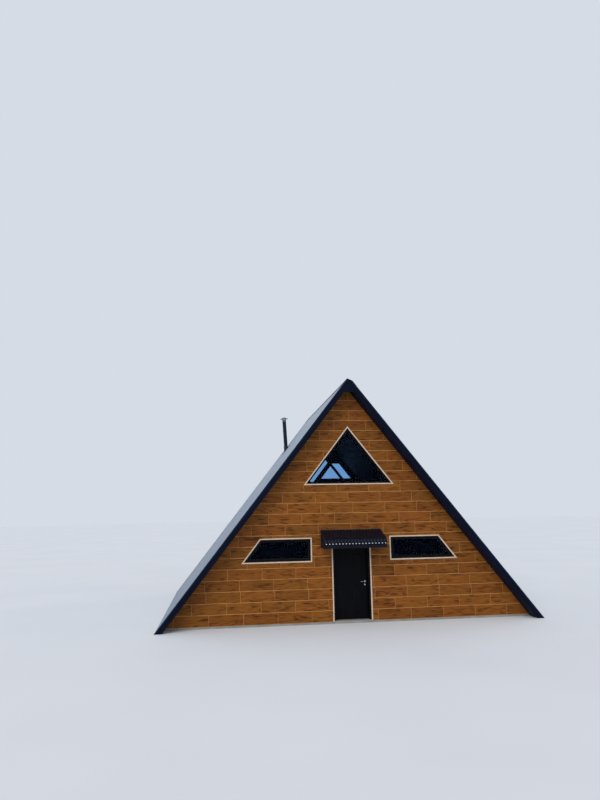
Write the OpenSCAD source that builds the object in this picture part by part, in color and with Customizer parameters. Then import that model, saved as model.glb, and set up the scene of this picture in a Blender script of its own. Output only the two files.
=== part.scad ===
// A-frame cabin: two steep roof slopes that stand on the ground, two gable walls,
// a loft with a window at each end, a recessed front door under a small canopy,
// and a leaning flue.
// Millimetres, +Z up, the front gable faces -Y.

/* [Building] */
// Width over the two roof feet, at the ground
base_w = 10860; // [8000:10:13000]
// Height of the ridge line where the two outer roof planes meet
ridge_h = 6960; // [6400:10:8200]
// Length from the front wall's face to the back wall's face
house_len = 7600; // [5000:10:12000]
// Roof overhang past each gable wall
overhang = 460; // [250:5:800]
// Thickness of the gable walls
wall_t = 200; // [160:5:320]
// Height of the ground slab's top, which is the ground floor
slab_h = 60; // [40:5:200]
// Height of wall between the lower windows' heads and the joint of the upper wall
joint_rise = 76; // [50:1:200]

/* [Loft] */
// Height of the loft floor's top above the ground
loft_top = 2950; // [2750:5:3300]
// Thickness of the loft floor
loft_t = 200; // [120:5:280]

/* [Roof] */
// Thickness of a roof slope, square to the slope
roof_t = 115; // [100:5:220]
// Thickness of the boards under the overhangs
soffit_t = 20; // [12:1:35]
// Thickness of the fascia boards, along the building
fascia_t = 30; // [20:1:50]
// Height of the plate that closes the corner between a gable's two fascia boards
apex_plate_h = 195; // [60:5:260]
// How much flatter than square the left slope's end is cut at the ridge
cut_turn = 14; // [0:1:20]
// Distance between two ribs of the roof sheet
rib_pitch = 250; // [180:5:400]
// Height of a rib of the roof sheet
rib_h = 30; // [15:1:45]
// Width of a rib at its foot
rib_foot_w = 70; // [50:1:100]
// Width of a rib at its top
rib_top_w = 34; // [20:1:45]
// Thickness of the roof sheet
sheet_t = 3; // [2:0.5:6]
// Width of the verge trim, along the building
verge_w = 110; // [80:1:180]
// Width of each wing of the ridge cap
cap_wing = 190; // [120:5:300]
// Thickness of the ridge cap
cap_t = 4; // [2:0.5:8]
// Gap left between sloping or round pieces that bear on each other
seat_gap = 0.3; // [0.2:0.1:0.8]

/* [Gable windows] */
// Height of the front loft window's sill line above the ground
gable_sill = 3870; // [3500:5:4200]
// Height of the front loft window over its trim
gable_win_h = 1720; // [1000:5:1900]
// Height of the back loft window's sill line above the ground
view_sill = 4160; // [3500:5:4300]
// Height of the back loft window over its trim
view_win_h = 1100; // [600:5:1200]
// Distance between the back loft window's slanted sides and the soffits
view_side_gap = 50; // [40:5:300]

/* [Side windows] */
// Height of the lower windows' sill line above the ground
side_sill = 1700; // [1000:5:1740]
// Height of the lower windows over their trim
side_win_h = 684; // [500:1:700]
// Distance from the middle of the gable to a lower window's upright side
side_win_in = 1135; // [1000:5:1300]
// Distance from the middle of the gable to a lower window's lowest outer corner
side_win_foot = 3150; // [2600:5:3250]

/* [Window parts] */
// Width of the trim round each window
trim_w = 36; // [30:1:80]
// Thickness of the trim
trim_t = 26; // [18:1:40]
// Width of the window frames
frame_w = 62; // [45:1:90]
// Depth of the window frames
frame_d = 70; // [50:1:110]
// Distance from the wall's face back to a window frame
frame_back = 20; // [5:1:50]
// Thickness of the glass units
glass_t = 24; // [8:1:36]

/* [Door] */
// Width of the doorway through the wall
doorway_w = 1070; // [900:5:1150]
// Height of the doorway above the slab
doorway_h = 2030; // [1950:5:2100]
// Width of the trim round the doorway
casing_w = 38; // [30:1:90]
// Width of the door frame's jambs and head
jamb_w = 45; // [35:1:60]
// Distance from the wall's face back to the door frame
jamb_back = 10; // [5:1:40]
// Depth by which the stops stand in from the jambs
stop_w = 12; // [8:1:18]
// Height of the threshold
threshold_h = 20; // [12:1:30]
// Thickness of the door leaf
leaf_t = 45; // [38:1:60]
// Gap between the leaf and the frame at the lock side, the head and the threshold
leaf_gap = 8; // [7:1:12]
// Gap between the leaf and the jamb at the hinge side
hinge_gap = 6; // [5.5:0.5:8]
// Depth of the panels sunk into the leaf's outer face
panel_sink = 8; // [4:1:14]
// Height of the handle above the slab
handle_h = 1050; // [950:5:1100]
// Length of the lever handle
lever_len = 130; // [100:5:160]

/* [Hinges] */
// Radius of the hinge knuckles
knuckle_r = 8; // [6:0.5:11]
// Radius of the hinge pins
pin_r = 4; // [3:0.5:5]
// Clearance round the hinge pins
pin_clear = 0.08; // [0.03:0.01:0.1]
// Length of one knuckle
knuckle_l = 45; // [35:1:70]
// Width of a hinge plate
plate_w = 36; // [28:1:44]
// Thickness of a hinge plate
plate_t = 3; // [2:0.5:4]
// Number of hinges
hinge_n = 3; // [2:1:4]

/* [Canopy] */
// Width of the canopy's roof
canopy_w = 1760; // [1500:5:2000]
// Distance the canopy stands out from the wall
canopy_reach = 740; // [650:5:1000]
// Height of the canopy's roof at the wall, above the ground
canopy_top = 2600; // [2580:5:2700]
// Slope of the canopy's roof
canopy_pitch = 17; // [10:1:20]
// Radius of the bend at the front of the canopy's roof
canopy_bend_r = 180; // [120:5:200]
// Length of the canopy's turned-down front edge below the bend
canopy_lip = 38; // [20:1:60]
// Thickness of the canopy's tiled roof
canopy_t = 24; // [16:1:34]
// Height of the lower edge of the canopy's boards above the ground
canopy_foot = 2100; // [2090:5:2180]
// Thickness of the canopy's side and front boards
canopy_board_t = 28; // [20:1:40]
// Depth of the ledger that holds the canopy on the wall
ledger_d = 60; // [40:1:90]
// Height of the ledger
ledger_h = 110; // [80:1:140]

/* [Flue] */
// Distance of the flue from the ridge line, towards the left
flue_side = 1215; // [900:5:1600]
// Distance of the flue behind the front wall's face
flue_back = 6000; // [1500:10:6400]
// Radius of the flue pipe
flue_r = 70; // [55:1:100]
// Height of the pipe above the roof, measured up its axis
flue_h = 1170; // [700:10:1500]
// Lean of the pipe towards the left
flue_lean = 3; // [0:0.5:4]
// Radius of the rain cap
rain_cap_r = 155; // [140:1:200]
// Height of the rain cap's cone
rain_cap_h = 60; // [40:1:90]
// Clear height between the pipe's mouth and the rain cap
rain_cap_gap = 40; // [30:1:80]
// Depth of the open mouth of the pipe
mouth_depth = 120; // [80:1:200]
// Side of the square flashing plate
flashing_w = 460; // [400:5:600]

/* [Hidden] */
$fn = 48;

// Extra length of a cutting shape past the face that it cuts
cut = 1;

// Colours
cladding_colour = "#9A5A2B";
board_colour = "#1F2A40";
sheet_colour = "#A9B4BE";
trim_colour = "#D9C9B4";
frame_colour = "#23262E";
glass_colour = "#5E7A90";
slab_colour = "#8E8C87";
floor_colour = "#B08A5A";
leaf_colour = "#12182C";
metal_colour = "#8D939A";
flue_colour = "#14202E";

// Roof lines
slope = atan(2 * ridge_h / base_w);
fascia_d = roof_t + soffit_t;
inner_d = roof_t + seat_gap;
inner_ridge_h = ridge_h - inner_d / cos(slope);
soffit_ridge_h = ridge_h - fascia_d / cos(slope);
function inner_x(z) = (inner_ridge_h - z) / tan(slope);

// Places along the building, with the whole part centred on the origin
front_out = max(overhang, canopy_reach);
front_y = -(house_len + overhang - front_out) / 2;
back_y = front_y + house_len;
doorway_top = slab_h + doorway_h;
wall_split = max(side_sill + side_win_h, doorway_top) + joint_rise;

// Directions in the front view: up the left slope, out of it, and out of the right one
up_left = [cos(slope), sin(slope)];
out_left = [-sin(slope), cos(slope)];
down_right = [cos(slope), -sin(slope)];
out_right = [sin(slope), cos(slope)];
left_foot = [-base_w / 2, 0];
right_foot = [base_w / 2, 0];

// Point at one depth under the left slope's outer face and another under the right slope's
function under(left_d, right_d) =
    [(left_d - right_d) / (2 * sin(slope)), ridge_h - (left_d + right_d) / (2 * cos(slope))];

// The left slope runs through at the ridge and is cut a little flatter than square, and the
// right slope ends under it, so the cut end covers the right slope with its ribs
cut_dir = out_left - tan(cut_turn) * up_left;
cut_out = cos(cut_turn) * up_left + sin(cut_turn) * out_left;
cut_low = under(fascia_d, -rib_h);
cut_top = cut_low + fascia_d * cut_dir;
function left_profile(t) = [
    left_foot, left_foot + [t / sin(slope), 0], cut_top - t * cut_dir, cut_top
];
function right_profile(t) = [
    right_foot, under(t + seat_gap, 0), under(t + seat_gap, t), right_foot - [t / sin(slope), 0]
];

// Window outlines, drawn in from the trim's outer edge by inset on every side
function gable_window(inset) =
    let (low = gable_sill + inset)
    let (peak = gable_sill + gable_win_h - inset / cos(slope))
    let (half = (peak - low) / tan(slope))
    [[-half, low], [half, low], [0, peak]];
function view_window(inset) =
    let (low = view_sill + inset)
    let (high = view_sill + view_win_h - inset)
    let (peak = soffit_ridge_h - (view_side_gap + inset) / cos(slope))
    let (low_half = (peak - low) / tan(slope))
    let (high_half = (peak - high) / tan(slope))
    [[-low_half, low], [low_half, low], [high_half, high], [-high_half, high]];
function side_edge(z, inset) = side_win_foot - (z - side_sill) / tan(slope) - inset / sin(slope);
function side_window(inset) =
    let (low = side_sill + inset)
    let (high = side_sill + side_win_h - inset)
    let (near = side_win_in + inset)
    [[near, low], [side_edge(low, inset), low], [side_edge(high, inset), high], [near, high]];

// Solid between two places along the building, from a shape seen from the front
module along_y(y0, y1) {
    translate([0, y1, 0]) rotate([90, 0, 0]) linear_extrude(y1 - y0) children();
}

// Solid between two places across the building, from a shape drawn outwards and upwards
module across_x(x0, x1) {
    translate([x0, 0, 0]) mirror([0, 1, 0]) rotate([90, 0, 90]) linear_extrude(x1 - x0) children();
}

// Each gable is drawn with its wall's face at y = 0 and the outside towards -y
module at_front() {
    translate([0, front_y, 0]) children();
}

module at_back() {
    translate([0, back_y, 0]) mirror([0, 1, 0]) children();
}

module both_sides() {
    children();
    mirror([1, 0, 0]) children();
}

// Floors and walls
module ground_slab() {
    color(slab_colour) along_y(front_y, back_y)
        polygon([[-inner_x(0), 0], [inner_x(0), 0], [inner_x(slab_h), slab_h], [-inner_x(slab_h), slab_h]]);
}

module loft_floor() {
    low = loft_top - loft_t;
    color(floor_colour) along_y(front_y + wall_t, back_y - wall_t)
        polygon([[-inner_x(low), low], [inner_x(low), low], [inner_x(loft_top), loft_top],
                 [-inner_x(loft_top), loft_top]]);
}

module front_wall_half() {
    color(cladding_colour) at_front() along_y(0, wall_t) difference() {
        polygon([[doorway_w / 2, slab_h], [inner_x(slab_h), slab_h], [inner_x(wall_split), wall_split],
                 [doorway_w / 2, wall_split]]);
        polygon(side_window(trim_w));
    }
}

module front_wall_left() {
    mirror([1, 0, 0]) front_wall_half();
}

module front_wall_right() {
    front_wall_half();
}

module front_wall_lintel() {
    color(cladding_colour) at_front() along_y(0, wall_t)
        translate([-doorway_w / 2, doorway_top]) square([doorway_w, wall_split - doorway_top]);
}

module upper_wall(window) {
    color(cladding_colour) along_y(0, wall_t) difference() {
        polygon([[-inner_x(wall_split), wall_split], [inner_x(wall_split), wall_split], [0, inner_ridge_h]]);
        polygon(window);
    }
}

module front_wall_upper() {
    at_front() upper_wall(gable_window(trim_w));
}

module back_wall_upper() {
    at_back() upper_wall(view_window(trim_w));
}

module back_wall_lower() {
    color(cladding_colour) at_back() along_y(0, wall_t) difference() {
        polygon([[-inner_x(slab_h), slab_h], [inner_x(slab_h), slab_h], [inner_x(wall_split), wall_split],
                 [-inner_x(wall_split), wall_split]]);
        both_sides() polygon(side_window(trim_w));
    }
}

// Roof slopes, between the fascia boards of the two gables
rake_front = front_y - overhang;
rake_back = back_y + overhang;

module roof_left() {
    color(board_colour) along_y(rake_front + fascia_t, rake_back - fascia_t) polygon(left_profile(roof_t));
}

module roof_right() {
    color(board_colour) along_y(rake_front + fascia_t, rake_back - fascia_t) polygon(right_profile(roof_t));
}

// Ribbed roof sheet: its section runs along the building, and it is drawn up the slope
sheet_len = rake_back - rake_front - 2 * verge_w;
rib_n = floor((sheet_len - rib_foot_w) / rib_pitch);
function rib_y(i) = (rake_front + rake_back) / 2 + (i - (rib_n - 1) / 2) * rib_pitch;
function rib_points(i, low, high, in) = [
    [-low, rib_y(i) - rib_foot_w / 2 + in], [-high, rib_y(i) - rib_top_w / 2 + in],
    [-high, rib_y(i) + rib_top_w / 2 - in], [-low, rib_y(i) + rib_foot_w / 2 - in]
];
function reversed(line) = [for (i = [len(line) - 1 : -1 : 0]) line[i]];
function flat_list(lists) = [for (part = lists) for (point = part) point];
sheet_top = seat_gap + sheet_t;
upper_line = flat_list([for (i = [0 : rib_n - 1]) rib_points(i, sheet_top, rib_h, 0)]);
lower_line = flat_list([for (i = [0 : rib_n - 1]) rib_points(i, seat_gap, rib_h - sheet_t, sheet_t)]);
sheet_y0 = rake_front + verge_w;
sheet_y1 = rake_back - verge_w;

module roof_sheet(length) {
    color(sheet_colour) translate([-base_w / 2, 0, 0]) rotate([0, 90 - slope, 0]) linear_extrude(length)
        polygon(concat([[-sheet_top, sheet_y0]], upper_line, [[-sheet_top, sheet_y1]],
                       [[-seat_gap, sheet_y1]], reversed(lower_line), [[-seat_gap, sheet_y0]]));
}

module roof_sheet_left() {
    roof_sheet((cap_bend - left_foot) * up_left);
}

module roof_sheet_right() {
    mirror([1, 0, 0]) roof_sheet(norm(under(fascia_d + seat_gap, 0) - right_foot));
}

// Bent ridge cap on the ribs and verges, down the cut end and over the right slope,
// from its line at a lift above what it covers
cap_bend = cut_top + rib_h * cut_dir;
function corner(out_a, out_b) =
    [out_b[1] - out_a[1], out_a[0] - out_b[0]] / (out_a[0] * out_b[1] - out_a[1] * out_b[0]);
function cap_line(lift) = [
    cap_bend - cap_wing * up_left + lift * out_left,
    cap_bend + lift * corner(out_left, cut_out),
    cut_low + lift * corner(cut_out, out_right),
    cut_low + cap_wing * down_right + lift * out_right
];

module ridge_cap() {
    color(board_colour) along_y(rake_front, rake_back)
        polygon(concat(cap_line(seat_gap), reversed(cap_line(seat_gap + cap_t))));
}

// Boards and trims of one gable, with the rake's outer face at y = -overhang. The left
// board carries the small plate that closes the corner under the ridge.
module fascia_left() {
    inner_corner = under(fascia_d, fascia_d + seat_gap);
    low = inner_corner[1] - apex_plate_h;
    half = (soffit_ridge_h - low) / tan(slope);
    color(board_colour) along_y(-overhang, -overhang + fascia_t)
        polygon([left_foot, left_foot + [fascia_d / sin(slope), 0], [-half, low],
                 [half - seat_gap / sin(slope), low], inner_corner, cut_low, cut_top]);
}

module fascia_right() {
    color(board_colour) along_y(-overhang, -overhang + fascia_t) polygon(right_profile(fascia_d));
}

module verge_left() {
    color(board_colour) along_y(-overhang, -overhang + verge_w)
        polygon([left_foot - [seat_gap / sin(slope), 0], cut_top + seat_gap * cut_dir, cap_bend,
                 left_foot - [rib_h / sin(slope), 0]]);
}

module verge_right() {
    color(board_colour) along_y(-overhang, -overhang + verge_w)
        polygon([right_foot + [seat_gap / sin(slope), 0], under(fascia_d + seat_gap, -seat_gap),
                 under(fascia_d + seat_gap, -rib_h), right_foot + [rib_h / sin(slope), 0]]);
}

// The two soffits of a gable part by a small joint under the ridge
soffit_joint = 1;

module soffit() {
    high = inner_ridge_h - soffit_joint * tan(slope);
    low = soffit_ridge_h - soffit_joint * tan(slope);
    color(board_colour) along_y(-overhang + fascia_t, 0)
        polygon([right_foot - [inner_d / sin(slope), 0], [soffit_joint, high], [soffit_joint, low],
                 right_foot - [fascia_d / sin(slope), 0]]);
}

module front_fascia_left() {
    at_front() fascia_left();
}

module front_fascia_right() {
    at_front() fascia_right();
}

module back_fascia_left() {
    at_back() fascia_left();
}

module back_fascia_right() {
    at_back() fascia_right();
}

module front_verge_left() {
    at_front() verge_left();
}

module front_verge_right() {
    at_front() verge_right();
}

module back_verge_left() {
    at_back() verge_left();
}

module back_verge_right() {
    at_back() verge_right();
}

module front_soffits() {
    at_front() both_sides() soffit();
}

module back_soffits() {
    at_back() both_sides() soffit();
}

// Window parts of one gable: trim on the wall's face, frame in the wall, glass in the frame
frame_in = trim_w + frame_w;
glass_y = frame_back + (frame_d - glass_t) / 2;

module window_trim(outer, inner) {
    color(trim_colour) along_y(-trim_t, 0) difference() {
        polygon(outer);
        polygon(inner);
    }
}

module window_frame(outer, inner) {
    color(frame_colour) along_y(frame_back, frame_back + frame_d) difference() {
        polygon(outer);
        polygon(inner);
    }
}

module window_glass(outline) {
    color(glass_colour) along_y(glass_y, glass_y + glass_t) polygon(outline);
}

module side_window_trims() {
    both_sides() window_trim(side_window(0), side_window(trim_w));
}

module side_window_frames() {
    both_sides() window_frame(side_window(trim_w), side_window(frame_in));
}

module side_window_panes() {
    both_sides() window_glass(side_window(frame_in));
}

module front_gable_window_trim() {
    at_front() window_trim(gable_window(0), gable_window(trim_w));
}

module front_gable_window_frame() {
    at_front() window_frame(gable_window(trim_w), gable_window(frame_in));
}

module front_gable_window_glass() {
    at_front() window_glass(gable_window(frame_in));
}

module back_gable_window_trim() {
    at_back() window_trim(view_window(0), view_window(trim_w));
}

module back_gable_window_frame() {
    at_back() window_frame(view_window(trim_w), view_window(frame_in));
}

module back_gable_window_glass() {
    at_back() window_glass(view_window(frame_in));
}

module front_side_window_trims() {
    at_front() side_window_trims();
}

module front_side_window_frames() {
    at_front() side_window_frames();
}

module front_side_window_glass() {
    at_front() side_window_panes();
}

module back_side_window_trims() {
    at_back() side_window_trims();
}

module back_side_window_frames() {
    at_back() side_window_frames();
}

module back_side_window_glass() {
    at_back() side_window_panes();
}

// Doorway, in the front gable's own frame
sill_top = slab_h + threshold_h;
jamb_in = doorway_w / 2 - jamb_w;
head_low = doorway_top - jamb_w;
leaf_x0 = -jamb_in + hinge_gap;
leaf_x1 = jamb_in - leaf_gap;
leaf_z0 = sill_top + leaf_gap;
leaf_z1 = head_low - leaf_gap;
leaf_y = wall_t - leaf_t;
stop_y = leaf_y - leaf_gap;

// Upside-down U seen from the front, from the half width and height of its outer edge
module u_shape(half, top, width, foot) {
    difference() {
        translate([-half, foot]) square([2 * half, top - foot]);
        translate([-half + width, foot - cut]) square([2 * (half - width), top - width - foot + cut]);
    }
}

module door_casing() {
    color(trim_colour) at_front() along_y(-trim_t, 0)
        u_shape(doorway_w / 2 + casing_w, doorway_top + casing_w, casing_w, slab_h);
}

module door_frame() {
    color(frame_colour) at_front() {
        along_y(jamb_back, wall_t) u_shape(doorway_w / 2, doorway_top, jamb_w, sill_top);
        along_y(jamb_back, stop_y) u_shape(jamb_in, head_low, stop_w, sill_top);
    }
}

module door_threshold() {
    color(slab_colour) at_front()
        translate([-doorway_w / 2, 0, slab_h]) cube([doorway_w, wall_t, threshold_h]);
}

// Door leaf with two columns and two rows of sunk panels
panel_margin = 110;
panel_gap = 90;
low_panel_share = 0.42;
leaf_w = leaf_x1 - leaf_x0;
leaf_h = leaf_z1 - leaf_z0;
panel_w = (leaf_w - 2 * panel_margin - panel_gap) / 2;
panels_h = leaf_h - 2 * panel_margin - panel_gap;

module panel_row(z, height) {
    for (column = [0, 1])
        translate([leaf_x0 + panel_margin + column * (panel_w + panel_gap), leaf_y - cut, z])
            cube([panel_w, panel_sink + cut, height]);
}

module door_leaf() {
    low_h = panels_h * low_panel_share;
    color(leaf_colour) at_front() difference() {
        translate([leaf_x0, leaf_y, leaf_z0]) cube([leaf_w, leaf_t, leaf_h]);
        panel_row(leaf_z0 + panel_margin, low_h);
        panel_row(leaf_z0 + panel_margin + low_h + panel_gap, panels_h - low_h);
    }
}

// Lever handle on a round rose, standing out from a face of the leaf
rose_r = 26;
rose_t = 8;
lever_r = 9;
lever_out = 48;
handle_in = 75;

module lever() {
    rotate([90, 0, 0]) {
        cylinder(r = rose_r, h = rose_t);
        cylinder(r = lever_r, h = lever_out);
    }
    translate([0, -lever_out, 0]) {
        sphere(r = lever_r);
        rotate([0, -90, 0]) cylinder(r = lever_r, h = lever_len);
        translate([-lever_len, 0, 0]) sphere(r = lever_r);
    }
}

module door_handle() {
    color(metal_colour) at_front() translate([leaf_x1 - handle_in, 0, slab_h + handle_h]) {
        translate([0, leaf_y, 0]) lever();
        translate([0, wall_t, 0]) mirror([0, 1, 0]) lever();
    }
}

// Lift-off hinges on the inner face: the frame's half carries the pin, the leaf's half turns
pin_x = (leaf_x0 - jamb_in) / 2;
pin_y = wall_t + knuckle_r + plate_t / 3;
knuckle_gap = 0.5;
hinge_end = 250;
hinge_step = (leaf_h - 2 * hinge_end) / (hinge_n - 1);

module at_hinges() {
    at_front() for (i = [0 : hinge_n - 1])
        translate([pin_x, pin_y, leaf_z0 + hinge_end + i * hinge_step]) children();
}

// Plate from the knuckle along x, on the face that lies at y = wall_t
module hinge_plate(x0, x1) {
    translate([x0, wall_t - pin_y, 0]) cube([x1 - x0, plate_t, knuckle_l]);
}

module hinge_frame_halves() {
    color(metal_colour) at_hinges() translate([0, 0, -knuckle_l]) {
        cylinder(r = knuckle_r, h = knuckle_l);
        cylinder(r = pin_r, h = 2 * knuckle_l);
        hinge_plate(-plate_w, 0);
    }
}

module hinge_leaf_halves() {
    color(metal_colour) at_hinges() translate([0, 0, knuckle_gap]) difference() {
        union() {
            cylinder(r = knuckle_r, h = knuckle_l);
            hinge_plate(0, plate_w);
        }
        translate([0, 0, -cut]) cylinder(r = pin_r + pin_clear, h = knuckle_l + 2 * cut);
    }
}

// Canopy section, drawn outwards from the wall and upwards: a slope with a round bend
bend_out = canopy_reach - canopy_bend_r;
bend_z = canopy_top - tan(canopy_pitch) * (bend_out + canopy_bend_r * sin(canopy_pitch))
    - canopy_bend_r * cos(canopy_pitch);
canopy_half = canopy_w / 2;
canopy_in = canopy_t + seat_gap;
bend_steps = 12;

// Line of the canopy's roof from the wall to its front edge, inset below its outer face
function canopy_line(inset, foot) =
    let (r = canopy_bend_r - inset)
    concat(
        [[0, canopy_top - inset / cos(canopy_pitch)]],
        [for (i = [0 : bend_steps])
            let (turn = (90 - canopy_pitch) * (1 - i / bend_steps))
            [bend_out + r * cos(turn), bend_z + r * sin(turn)]],
        [[bend_out + r, foot]]
    );

module canopy_roof() {
    lip_z = bend_z - canopy_lip;
    color(board_colour) at_front() across_x(-canopy_half, canopy_half)
        polygon(concat(canopy_line(0, lip_z), reversed(canopy_line(canopy_t, lip_z))));
}

// Two side boards, a front board and the ledger on the wall, open below
module canopy_frame() {
    ledger_top = canopy_top - canopy_in / cos(canopy_pitch);
    ledger_front_top = ledger_top - ledger_d * tan(canopy_pitch);
    color(board_colour) at_front() {
        both_sides() across_x(canopy_half - canopy_board_t, canopy_half)
            polygon(concat(canopy_line(canopy_in, canopy_foot), [[0, canopy_foot]]));
        across_x(-canopy_half, canopy_half) {
            translate([canopy_reach - canopy_in - canopy_board_t, canopy_foot])
                square([canopy_board_t, bend_z - canopy_foot]);
            polygon([[0, ledger_top], [ledger_d, ledger_front_top],
                     [ledger_d, ledger_front_top - ledger_h], [0, ledger_front_top - ledger_h]]);
        }
    }
}

// Flue on the left slope, leaning left; the pipe's foot lies on the rib tops
flue_foot_z = ridge_h + rib_h / cos(slope) - flue_side * tan(slope);
flue_up_slope = (base_w / 2 - flue_side + rib_h * sin(slope)) / cos(slope);
mouth_wall = 8;
collar_t = 10;
collar_h = 130;
collar_taper = 20;
collar_top_t = 3;
flashing_t = 4;
band_t = 3;
band_h = 40;
band_drop = 20;
strap_w = 22;
strap_n = 4;
cap_rim_h = 8;
cap_tip_r = 18;

module at_flue() {
    translate([-flue_side, front_y + flue_back, flue_foot_z]) rotate([0, -flue_lean, 0]) children();
}

// Everything under the left slope's rib tops, near the flue
module under_ribs() {
    translate([-base_w / 2, 0, 0]) rotate([0, 90 - slope, 0])
        translate([-rib_h - seat_gap, front_y + flue_back - flashing_w, flue_up_slope - flashing_w])
            cube([flashing_w, 2 * flashing_w, 2 * flashing_w]);
}

module flue_core(r) {
    at_flue() translate([0, 0, -2 * flue_r]) cylinder(r = r, h = flue_h + 2 * flue_r);
}

module flue_pipe() {
    color(flue_colour) difference() {
        flue_core(flue_r);
        under_ribs();
        at_flue() translate([0, 0, flue_h - mouth_depth])
            cylinder(r = flue_r - mouth_wall, h = mouth_depth + cut);
    }
}

module flue_cap() {
    low = flue_h - band_drop - band_h;
    color(metal_colour) at_flue() {
        translate([0, 0, low]) difference() {
            cylinder(r = flue_r + band_t, h = band_h);
            translate([0, 0, -cut]) cylinder(r = flue_r + seat_gap, h = band_h + 2 * cut);
        }
        for (i = [0 : strap_n - 1])
            rotate([0, 0, (i + 0.5) * 360 / strap_n]) translate([flue_r + band_t / 2, -strap_w / 2, low])
                cube([band_t, strap_w, flue_h + rain_cap_gap - low]);
        translate([0, 0, flue_h + rain_cap_gap]) {
            cylinder(r = rain_cap_r, h = cap_rim_h);
            translate([0, 0, cap_rim_h]) cylinder(r1 = rain_cap_r, r2 = cap_tip_r, h = rain_cap_h);
        }
    }
}

module flue_flashing() {
    color(sheet_colour) difference() {
        union() {
            translate([-base_w / 2, 0, 0]) rotate([0, 90 - slope, 0])
                translate([-rib_h - seat_gap - flashing_t, front_y + flue_back - flashing_w / 2,
                           flue_up_slope - flashing_w / 2])
                    cube([flashing_t, flashing_w, flashing_w]);
            difference() {
                at_flue() {
                    translate([0, 0, -collar_h]) cylinder(r = flue_r + collar_t, h = 2 * collar_h);
                    translate([0, 0, collar_h])
                        cylinder(r1 = flue_r + collar_t, r2 = flue_r + collar_top_t, h = collar_taper);
                }
                under_ribs();
            }
        }
        flue_core(flue_r + seat_gap);
    }
}

ground_slab();
loft_floor();
front_wall_left();
front_wall_right();
front_wall_lintel();
front_wall_upper();
back_wall_lower();
back_wall_upper();
roof_left();
roof_right();
roof_sheet_left();
roof_sheet_right();
ridge_cap();
front_fascia_left();
front_fascia_right();
back_fascia_left();
back_fascia_right();
front_verge_left();
front_verge_right();
back_verge_left();
back_verge_right();
front_soffits();
back_soffits();
front_gable_window_trim();
front_gable_window_frame();
front_gable_window_glass();
back_gable_window_trim();
back_gable_window_frame();
back_gable_window_glass();
front_side_window_trims();
front_side_window_frames();
front_side_window_glass();
back_side_window_trims();
back_side_window_frames();
back_side_window_glass();
door_casing();
door_frame();
door_threshold();
door_leaf();
door_handle();
hinge_frame_halves();
hinge_leaf_halves();
canopy_frame();
canopy_roof();
flue_pipe();
flue_cap();
flue_flashing();
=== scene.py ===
"""Finished surfaces of the a-frame cabin, laid over its CAD frame."""

import logging
import math
from dataclasses import dataclass, field, replace
from enum import Enum
from typing import Callable, Sequence

import bpy
import numpy as np
from mathutils import Matrix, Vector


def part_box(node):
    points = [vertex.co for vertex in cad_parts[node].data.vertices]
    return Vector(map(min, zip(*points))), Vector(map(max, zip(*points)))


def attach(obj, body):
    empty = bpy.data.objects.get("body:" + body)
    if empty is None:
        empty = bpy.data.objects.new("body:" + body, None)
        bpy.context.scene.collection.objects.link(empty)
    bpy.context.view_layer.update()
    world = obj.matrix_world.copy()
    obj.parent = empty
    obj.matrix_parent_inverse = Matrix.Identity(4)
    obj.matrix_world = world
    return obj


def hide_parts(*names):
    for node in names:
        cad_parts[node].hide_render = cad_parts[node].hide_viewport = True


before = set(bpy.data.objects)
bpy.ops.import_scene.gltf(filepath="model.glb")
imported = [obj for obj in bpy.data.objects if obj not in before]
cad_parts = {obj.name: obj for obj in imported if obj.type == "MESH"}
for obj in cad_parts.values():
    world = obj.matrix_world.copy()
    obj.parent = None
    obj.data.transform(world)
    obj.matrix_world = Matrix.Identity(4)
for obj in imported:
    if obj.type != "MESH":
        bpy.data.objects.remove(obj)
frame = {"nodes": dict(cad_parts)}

Array = np.ndarray
Pair = tuple[float, float]
Triple = tuple[float, float, float]
Tree = bpy.types.NodeTree
Socket = bpy.types.NodeSocket
Material = bpy.types.Material

log = logging.getLogger("cabin")
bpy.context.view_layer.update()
MM = 0.001


class Body(Enum):
    """The bodies that pieces ride on."""

    CABIN = "cabin"
    DOOR = "door"


class Side(Enum):
    """The flat sides that pieces are laid out on."""

    FRONT = "front"
    BACK = "back"
    LEFT = "left"
    RIGHT = "right"


# Surfaces


@dataclass(frozen=True)
class Facing:
    """A flat side: a point on it is (along, up, out) in metres from its zero.

    Attributes:
        zero: the place of its zero.
        along: the direction along it.
        up: the direction up it.
        out: the direction out of it.
    """

    zero: Triple
    along: Triple
    up: Triple
    out: Triple

    def world(self, flat: Array) -> Array:
        """Zero plus along, up and out, each times its own coordinate."""
        return np.asarray(self.zero) + flat @ np.array([self.along, self.up, self.out])


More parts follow.
